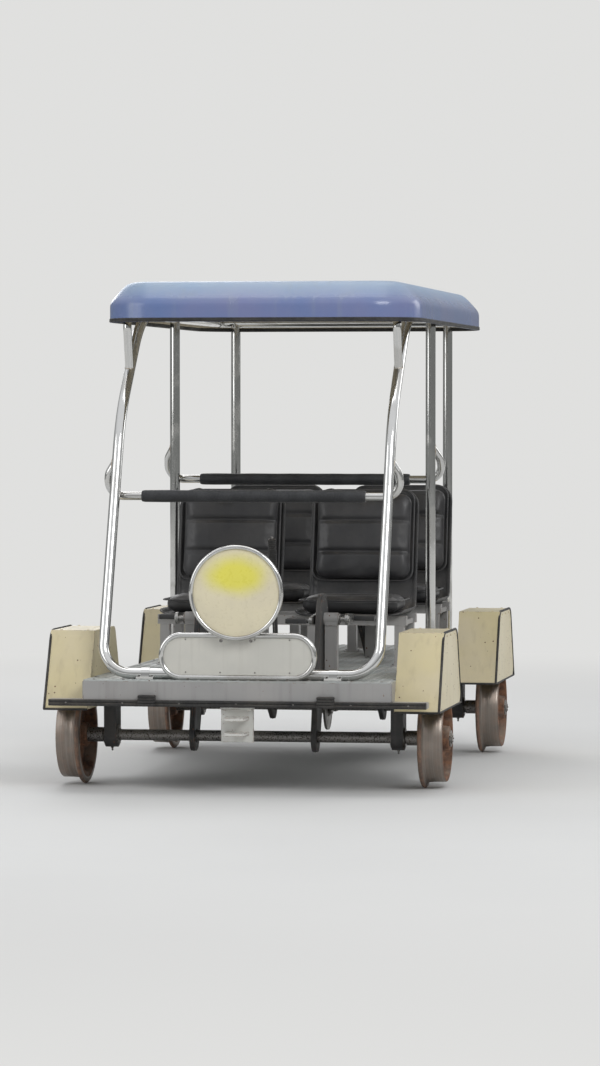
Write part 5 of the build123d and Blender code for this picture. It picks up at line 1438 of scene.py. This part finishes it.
def pad_surface(half_width, half_length, thickness):
    """A pad in its own frame: a rounded rectangle in plan, drawn in towards its top and bottom.

    The section's side is a power of a cosine, so the walls bulge. Closing rings lift the middle of
    the top and bottom into a shallow crown.
    """
    turn = np.linspace(-math.pi / 2, math.pi / 2, 24)
    inset = (1.0 - np.cos(turn) ** 0.45) * PAD_BULGE
    shoulder = thickness / 2 - PAD_CROWN
    closing = np.linspace(0.10, 1.0, 7)
    inner = PAD_BULGE + (half_width - PAD_BULGE - 0.0001) * closing
    crown = shoulder + PAD_CROWN * np.sin(closing * math.pi / 2)
    inset = np.concatenate([inner[::-1], inset, inner])
    level = np.concatenate([-crown[::-1], np.sin(turn) * shoulder, crown])
    rings = []
    for ring_inset, ring_level in zip(inset, level):
        width, length = half_width - ring_inset, max(half_length - ring_inset, 0.0)
        corner = min(max(PAD_CORNER - ring_inset * 0.5, 0.0), width, length)
        loop = rounded_loop(width, -length, length, corner, steps=8, run=3)
        rings.append(np.column_stack([loop, np.full(len(loop), ring_level)]))
    return capped(rings)


def points_of(mesh):
    """A mesh's points as an array."""
    flat = np.empty(len(mesh.vertices) * 3)
    mesh.vertices.foreach_get("co", flat)
    return flat.reshape(-1, 3)


def stuffed(name, half_width, half_length, thickness):
    """A stuffed pad: a slightly small form, remeshed finely and blown up as cloth, its growth capped."""
    small = PAD_SHRINK
    form = pad_surface(half_width - small, half_length - small, thickness - 1.4 * small)
    start = mesh_object(name, [form], vinyl)
    remesh = start.modifiers.new("cloth_grid", "REMESH")
    remesh.mode = "VOXEL"
    remesh.voxel_size = PAD_GRID
    bpy.context.view_layer.objects.active = start
    start.select_set(True)
    bpy.ops.object.modifier_apply(modifier=remesh.name)
    mesh = start.data
    before = points_of(mesh)
    cloth = start.modifiers.new("stuffing", "CLOTH")
    cloth.settings.use_pressure = True
    cloth.settings.uniform_pressure_force = 4.0
    cloth.settings.effector_weights.gravity = 0.0
    for step in range(1, 21):
        bpy.context.scene.frame_set(step)
    bpy.ops.object.modifier_apply(modifier=cloth.name)
    bpy.context.scene.frame_set(1)
    move = points_of(mesh) - before
    size = np.linalg.norm(move, axis=1, keepdims=True)
    grown = before + move * np.minimum(1.0, PAD_GROWTH / np.maximum(size, 1e-9))
    mesh.vertices.foreach_set("co", grown.ravel())
    start.select_set(False)
    return start


def pressed(points, size, lines):
    """Sinks the top of a pad along lines across it, by a bell curve of the distance to each line."""
    half_width, half_length, thickness = size
    top = np.clip(points[:, 2] / (thickness / 2), 0.0, 1.0)
    inside = 1.0 - np.clip((np.abs(points[:, 0]) / half_width - 0.86) / 0.14, 0.0, 1.0) ** 2
    for line in lines:
        bell = np.exp(-((points[:, 1] - line) / CHANNEL_WIDTH) ** 2)
        points[:, 2] -= CHANNEL_DEPTH * top * inside * bell
    return np.clip(points, (-half_width, -half_length, 0.0004 - thickness / 2),
                   (half_width, half_length, thickness / 2 + 0.004))


sine, cosine = math.sin(BACK_LEAN), math.cos(BACK_LEAN)
back_out = PAN_LIFT + BACK_SIZE[2] / 2
level_frame = np.eye(3)
leaning_frame = np.array([[1.0, 0.0, 0.0], [0.0, sine, cosine], [0.0, -cosine, sine]])
cushion_centre = np.array([0.0, cushion_low[1] + CUSHION_SIZE[1] - ROW_FEET[0],
                           cushion_low[2] + CUSHION_SIZE[2] / 2])
back_centre = np.array([0.0, BACK_RISE * sine - back_out * cosine,
                        pan_level + BACK_RISE * cosine + back_out * sine])
for part, size, lines, centre, turn in (
        ("cushion", CUSHION_SIZE, CUSHION_CHANNELS, cushion_centre, level_frame),
        ("back", BACK_SIZE, BACK_CHANNELS, back_centre, leaning_frame)):
    node = "seat_cushions" if part == "cushion" else "seat_backs"
    master = stuffed(f"seat_{part}_master", *size)
    points = pressed(points_of(master.data), size, lines)
    welt = rounded_loop(size[0] - 0.004, 0.004 - size[1], size[1] - 0.004, 0.046, steps=10, run=4)
    bead = tube(np.column_stack([welt, np.full(len(welt), size[2] * 0.24)]), WELT_RADIUS, sides=8,
                side=(0, 0, 1), wrap=True)
    for row, foot in zip(("front", "rear"), ROW_FEET):
        for side, side_name in ((1, "left"), (-1, "right")):
            place = centre + [side * SEAT_SIDE, foot, 0.0]
            pad_mesh = master.data.copy()
            pad_mesh.vertices.foreach_set("co", (points @ turn + place).ravel())
            pad = bpy.data.objects.new(f"seat_{part}_{row}_{side_name}", pad_mesh)
            bpy.context.scene.collection.objects.link(pad)
            smooth = pad.modifiers.new("smooth", "SUBSURF")
            smooth.levels = smooth.render_levels = 1
            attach(pad, "chassis")
            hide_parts(node)
            fitted(f"seat_{part}_welt_{row}_{side_name}", [(bead[0] @ turn + place, bead[1])], vinyl,
                   "chassis", sharp=70.0)
    bpy.data.objects.remove(master)

# Pedal stands: square posts with a bored shell on top, in the chassis grey, on base plates bolted
# beside the deck's slots. A lock ring closes each shell's open end.
CRANK_LINES = {"front": -0.780, "rear": 0.330}
STAND_BOLTS = ((0.331, 0.027), (0.331, -0.027), (0.281, 0.0338), (0.281, -0.0338))
SHELL_LOCK = ((-0.001, 0.0112), (0.0060, 0.0112), (0.0070, 0.0122), (0.0070, 0.0215), (0.0060, 0.0228),
              (-0.001, 0.0228), (-0.001, 0.0112))
SHELL_HALF = 0.028
SHELL_RADIUS = 0.027
STAND_FOOT = (0.040, 0.042, 0.006)  # half width, half depth, thickness
STAND_FOOT_SIDE = 0.3070
STAND_BOLT = 0.0042
STAND_POST_HALF = 0.0255
FOOT_BEADS = (0.025, 0.0032)  # half length, radius
HEAD_BEADS = (0.024, 0.0030)
HEAD_BEAD_RISE = 0.1890
finish_node("pedal_stands", frame_paint)
stands_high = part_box("pedal_stands")[1]
crank_z = stands_high[2] - SHELL_RADIUS
shapes, places, rings = [], [], []
for crank_y in CRANK_LINES.values():
    for side in (1, -1):
        shapes.append(foot_plate(side * STAND_FOOT_SIDE, crank_y, STAND_FOOT))
        places += [(side * x, crank_y + y, deck_top + STAND_FOOT[2]) for x, y in STAND_BOLTS]
        for way in (-1, 1):
            corner = np.array([side * SEAT_SIDE, crank_y + way * STAND_POST_HALF,
                               deck_top + STAND_FOOT[2] + BEAD_PROUD])
            shapes.append(level_bead(corner, *FOOT_BEADS))
            shapes.append(level_bead(corner + [0, 0, HEAD_BEAD_RISE], *HEAD_BEADS))
        shell_end = side * (SEAT_SIDE + SHELL_HALF)
        rings.append(turned(SHELL_LOCK, (shell_end, crank_y, crank_z), (side, 0, 0), 36))
fitted("pedal_stand_bases", shapes, frame_paint, "chassis", sharp=45.0)
fitted("pedal_stand_fixings", [bolt_heads(places, (0, 0, 1), STAND_BOLT), *rings], machined, "chassis")

# Chain cases: two black pressed halves screwed together round each chain, from crank to axle.
# A bead is pressed round each half, and the halves' lips meet in a seam round the edge.
CASE_FACES = (0.240, 0.260)
CASE_TOP = 0.105
CASE_BOTTOM = 0.062
CASE_BEAD = 0.0016
CASE_SCREW = 0.0030
finish_node("chain_cases", black_paint)


def belt(first, first_radius, second, second_radius, steps=28):
    """The outline round two circles: an arc of each, out to where their shared tangents touch.

    The touching points lie at an angle from the line of centres whose cosine is the difference of
    the radii over the distance.
    """
    first, second = np.asarray(first, float), np.asarray(second, float)
    gap = second - first
    heading = math.atan2(gap[1], gap[0])
    touch = math.acos((first_radius - second_radius) / np.linalg.norm(gap))
    far = heading + np.linspace(touch, 2 * math.pi - touch, steps)
    near = heading + np.linspace(-touch, touch, steps)
    return np.concatenate([first + first_radius * spokes(far, *np.eye(2)),
                           second + second_radius * spokes(near, *np.eye(2))])


shapes, places = [], []
for row, crank_y in CRANK_LINES.items():
    centres = (crank_y, crank_z), (AXLE_LINES[row], axle_z)
    pressed_line = belt(centres[0], CASE_TOP - 0.010, centres[1], CASE_BOTTOM - 0.009)
    screw_line = belt(centres[0], CASE_TOP - 0.021, centres[1], CASE_BOTTOM - 0.019)[2::6]
    seam = belt(centres[0], CASE_TOP + 0.0002, centres[1], CASE_BOTTOM + 0.0002)
    for side in (1, -1):
        for line, x in ((seam, sum(CASE_FACES) / 2), *((pressed_line, face) for face in CASE_FACES)):
            shapes.append(tube(np.insert(line, 0, side * x, axis=1), CASE_BEAD, sides=8, wrap=True))
        for face, way in zip(CASE_FACES, (-side, side)):
            heads = np.insert(screw_line, 0, side * face, axis=1)
            places.append(screw_heads(heads, (way, 0, 0), CASE_SCREW))
fitted("chain_case_beads", shapes, black_paint, "chassis", sharp=60.0)
fitted("chain_case_screws", places, machined, "chassis")

# Cranks: forged steel arms on a spindle, scuffed bright by shoes. A cap closes each end of the
# spindle, and a rib is forged along the outer face of each arm.
CRANK_LENGTH = 0.150
ARM_FAR = 0.069
PEDAL_MIDDLE = 0.1175
SPINDLE_CAP = ((-0.001, 0.0), (-0.001, 0.0135), (0.0030, 0.0135), (0.0042, 0.0120), (0.0042, 0.0065),
               (0.0028, 0.0050), (0.0028, 0.0))
ARM_RIB = (0.030, 0.095, 0.0055)  # start and end along the arm, half height
crank_steel, tree, shader, cloud, dust = handled(
    "crank_steel", 30.0, ((0.42, 0.42, 0.41, 1.0), (0.28, 0.27, 0.26, 1.0), (0.62, 0.61, 0.59, 1.0)),
    0.8, 0.3, (0.24, 0.44))
feed(tree, shader, Metallic=ramp(tree, dust, 0.0, 0.6, 1.0, 0.3))
bump(tree, shader, cloud["Fine"], 0.15, 0.0004)
pedal_centres = {}
for row, crank_y in CRANK_LINES.items():
    for side_name, side in (("left", 1), ("right", -1)):
        finish_node(f"crank_{row}_{side_name}", crank_steel)
        shapes = []
        for place, across, along in (("inner", -side, -1), ("outer", side, 1)):
            face = side * SEAT_SIDE + across * ARM_FAR
            pedal_y = crank_y + along * CRANK_LENGTH
            shapes.append(turned(SPINDLE_CAP, (face, crank_y, crank_z), (across, 0, 0), 30))
            shapes.append(turned(np.array(SPINDLE_CAP) * [0.35, 0.55], (face, pedal_y, crank_z),
                                 (across, 0, 0), 24))
            start, end, half = ARM_RIB
            shapes.append(rounded_block((face - across * 0.001, crank_y + along * start, crank_z - half),
                                        (face + across * 0.0018, crank_y + along * end, crank_z + half),
                                        0.0013))
            pedal_x = side * SEAT_SIDE + across * PEDAL_MIDDLE
            pedal_centres[f"pedal_{row}_{side_name}_{place}"] = (pedal_x, pedal_y, crank_z)
        fitted(f"crank_caps_{row}_{side_name}", shapes, crank_steel, f"crank_{row}_{side_name}")

# Pedals: moulded black plastic platforms, each free to turn on a pin through the end of its crank.
# A platform has a barrel round the pin, a rim, cross ribs and rows of grip studs on both faces.
PEDAL_HALF = (0.0425, 0.0475, 0.0110)
RIB_LINES = (-0.0290, -0.0155, 0.0155, 0.0290)
BARREL = ((-0.0425, 0.0063), (-0.0425, 0.0098), (-0.0415, 0.0106), (0.0415, 0.0106), (0.0425, 0.0098),
          (0.0425, 0.0063), (-0.0425, 0.0063))
STUD_PROFILE = ((-0.001, 0.0), (-0.001, 0.0021), (0.0018, 0.0016), (0.0024, 0.0008), (0.0024, 0.0))
STUD_PLACES = np.linspace(-0.0340, 0.0340, 6)
half_x, half_y, half_z = PEDAL_HALF
shapes = [turned(BARREL, (0, 0, 0), (1, 0, 0), 24)]
for way in (-1, 1):
    shapes.append(rounded_block((-half_x, way * (half_y - 0.0075), -half_z + 0.0008),
                                (half_x, way * half_y, half_z - 0.0008), 0.0028))
    for flank in (-1, 1):
        shapes.append(rounded_block((way * (half_x - 0.0045), flank * 0.0090, -half_z + 0.0022),
                                    (way * half_x, flank * (half_y - 0.003), half_z - 0.0022), 0.0016,
                                    steps=3))
    studs = [(x, y, way * (half_z - STUD_PROFILE[-1][0])) for y in (*RIB_LINES, -0.0436, 0.0436)
             for x in STUD_PLACES]
    shapes.append(copied(turned(STUD_PROFILE, (0, 0, 0), (0, 0, 1), 8), studs, (0, 0, way)))
shapes += [rounded_block((-half_x + 0.003, y - 0.0028, -half_z + 0.0024),
                         (half_x - 0.003, y + 0.0028, half_z - 0.0024), 0.0012, steps=3)
           for y in RIB_LINES]
shapes += [rounded_block((x - 0.0022, -half_y + 0.004, -0.0060), (x + 0.0022, half_y - 0.004, 0.0060),
                         0.0012, steps=3) for x in (-0.0150, 0.0150)]
pedal_points, pedal_faces = joined(shapes)
for name, centre in pedal_centres.items():
    fitted(name.replace("pedal", "pedal_platform"), [(pedal_points + centre, pedal_faces)], shell_plastic,
           name, [name])

# The hand brake: a black tube lever with a ribbed rubber grip and a push button, between two grey
# cheeks. A cable in a housing runs under the deck to a caliper over the rear axle's disc.
LEVER_PIVOT = (0.0, -0.430, 0.500)
LEVER_LEAN = math.radians(12.0)
LEVER_WAY = np.array([0.0, -math.sin(LEVER_LEAN), math.cos(LEVER_LEAN)])
LEVER_AHEAD = np.array([0.0, -math.cos(LEVER_LEAN), -math.sin(LEVER_LEAN)])
LEVER_LENGTH = 0.500
GRIP_LENGTH = 0.125
CHEEK_FACE = 0.020
CALIPER_FACE = 0.028
CALIPER_BOLTS = (1.026, 1.088), (0.180, 0.250)
CALIPER_PISTON = (1.052, 0.215)
CABLE_LINE = (0.020, 0.341)
CABLE_CLIPS = (0.060, 0.400)
BRACKET_BOLT = 0.0040
BRACKET_BOLT_STEPS = (0.0277, 0.045)
BRACKET_FOOT = 0.006
CALIPER_BOLT = 0.0055
ROD_RADIUS = 0.0024
ROD_AHEAD = 0.0150
ROD_RUN = (0.026, 0.368)
ROD_GUIDES = (0.035, 0.20, 0.362)
BUTTON = ((-0.002, 0.0), (-0.002, 0.0045), (0.008, 0.0045), (0.0098, 0.0032), (0.0102, 0.0))
ROD_GUIDE = ((-0.004, 0.0), (-0.004, 0.0042), (0.004, 0.0042), (0.004, 0.0))
PIVOT_NUT = ((-0.001, 0.0), (-0.001, 0.0115), (0.0045, 0.0115), (0.0058, 0.0098), (0.0058, 0.0))
PISTON_CAP = ((-0.001, 0.0), (-0.001, 0.0170), (0.0060, 0.0170), (0.0078, 0.0150), (0.0078, 0.0))
CABLE_CLIP = ((-0.006, 0.0041), (-0.006, 0.0056), (0.006, 0.0056), (0.006, 0.0041), (-0.006, 0.0041))
for node, material in (("brake_lever", black_paint), ("brake_bracket", frame_paint),
                       ("brake_caliper", black_paint), ("brake_cable", black_rubber)):
    finish_node(node, material)
along = np.linspace(0.0, GRIP_LENGTH - 0.004, 76)
ribs = 0.0172 + 0.0011 * np.clip(np.sin(along / 0.0080 * 2 * math.pi), -0.6, 0.8)
grip_end = [(0.0, 0.0150), (0.002, 0.0115), (0.002, 0.0050), (-0.001, 0.0050), (-0.001, 0.0159)]
profile = np.concatenate([[(0.0, 0.0159)], np.column_stack([along + 0.001, ribs]),
                          np.array(grip_end) + [GRIP_LENGTH, 0.0], [(0.0, 0.0159)]])
grip_start = LEVER_PIVOT + LEVER_WAY * (LEVER_LENGTH - GRIP_LENGTH)
fitted("brake_grip", [turned(profile, grip_start, LEVER_WAY, 32)], black_rubber, "brake_lever",
       sharp=50.0)
button = turned(BUTTON, LEVER_PIVOT + LEVER_WAY * LEVER_LENGTH, LEVER_WAY, 20)
rod = tube([LEVER_PIVOT + LEVER_AHEAD * ROD_AHEAD + LEVER_WAY * reach for reach in ROD_RUN],
           ROD_RADIUS, sides=12)
guides = [turned(ROD_GUIDE, LEVER_PIVOT + LEVER_AHEAD * (ROD_AHEAD - 0.0005) + LEVER_WAY * reach,
                 LEVER_WAY, 16) for reach in ROD_GUIDES]
fitted("brake_pawl_rod", [button, rod, *guides], machined, "brake_lever")
step_x, step_y = BRACKET_BOLT_STEPS
base_bolts = [(x, LEVER_PIVOT[1] + y, deck_top + BRACKET_FOOT)
              for x in (-step_x, step_x) for y in (-step_y, step_y)]
shapes = [bolt_heads(base_bolts, (0, 0, 1), BRACKET_BOLT)]
for side in (1, -1):
    shapes.append(turned(PIVOT_NUT, (side * CHEEK_FACE, *LEVER_PIVOT[1:]), (side, 0, 0), 6))
    caliper_bolts = [(side * CALIPER_FACE, y, z) for y in CALIPER_BOLTS[0] for z in CALIPER_BOLTS[1]]
    shapes.append(bolt_heads(caliper_bolts, (side, 0, 0), CALIPER_BOLT))
    shapes.append(turned(PISTON_CAP, (side * CALIPER_FACE, *CALIPER_PISTON), (side, 0, 0), 32))
for clip_y in CABLE_CLIPS:
    shapes.append(turned(CABLE_CLIP, (CABLE_LINE[0], clip_y, CABLE_LINE[1]), (0, 1, 0), 20))
fitted("brake_fixings", shapes, machined, "chassis")

# Rear reflectors: red plastic lenses with prisms moulded inside, snapped into thin black rims.
# They are screwed to the rear beam, low down where the road dust dulls them.
LENS = ((0.001, 0.0), (0.001, 0.0350), (0.0085, 0.0350), (0.0108, 0.0320), (0.0122, 0.0200), (0.0126, 0.0))
BEZEL = ((0.0, 0.0348), (0.0, 0.0392), (0.0010, 0.0400), (0.0125, 0.0400), (0.0140, 0.0385),
         (0.0140, 0.0362), (0.0120, 0.0348), (0.0, 0.0348))
REFLECTOR_RADIUS = 0.040
reflectors_low, reflectors_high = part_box("rear_reflectors")
lens_red, tree, shader = new_material("reflector_lens", Coat_Weight=0.6)
spot = spot_of(tree)
prisms = add(tree, "ShaderNodeTexVoronoi", {"Vector": spot, "Scale": 210.0},
             feature="F1").outputs["Distance"]
dust = place_effect(tree, settled_dust, Amount=0.6)["Dust"]
red = mix(tree, prisms, (0.55, 0.010, 0.010, 1.0), (0.22, 0.004, 0.004, 1.0))
feed(tree, shader, Base_Color=mix(tree, dust, red, DUST_COLOUR),
     Roughness=ramp(tree, dust, 0.0, 0.5, 0.12, 0.5))
bump(tree, shader, prisms, 0.5, 0.001)
places = [(side * (reflectors_high[0] - REFLECTOR_RADIUS), reflectors_low[1],
           (reflectors_low[2] + reflectors_high[2]) / 2) for side in (1, -1)]
fitted("reflector_lenses", [turned(LENS, place, (0, 1, 0), 48) for place in places], lens_red, "chassis",
       ["rear_reflectors"])
fitted("reflector_rims", [turned(BEZEL, place, (0, 1, 0), 48) for place in places], shell_plastic,
       "chassis", ["rear_reflectors"])
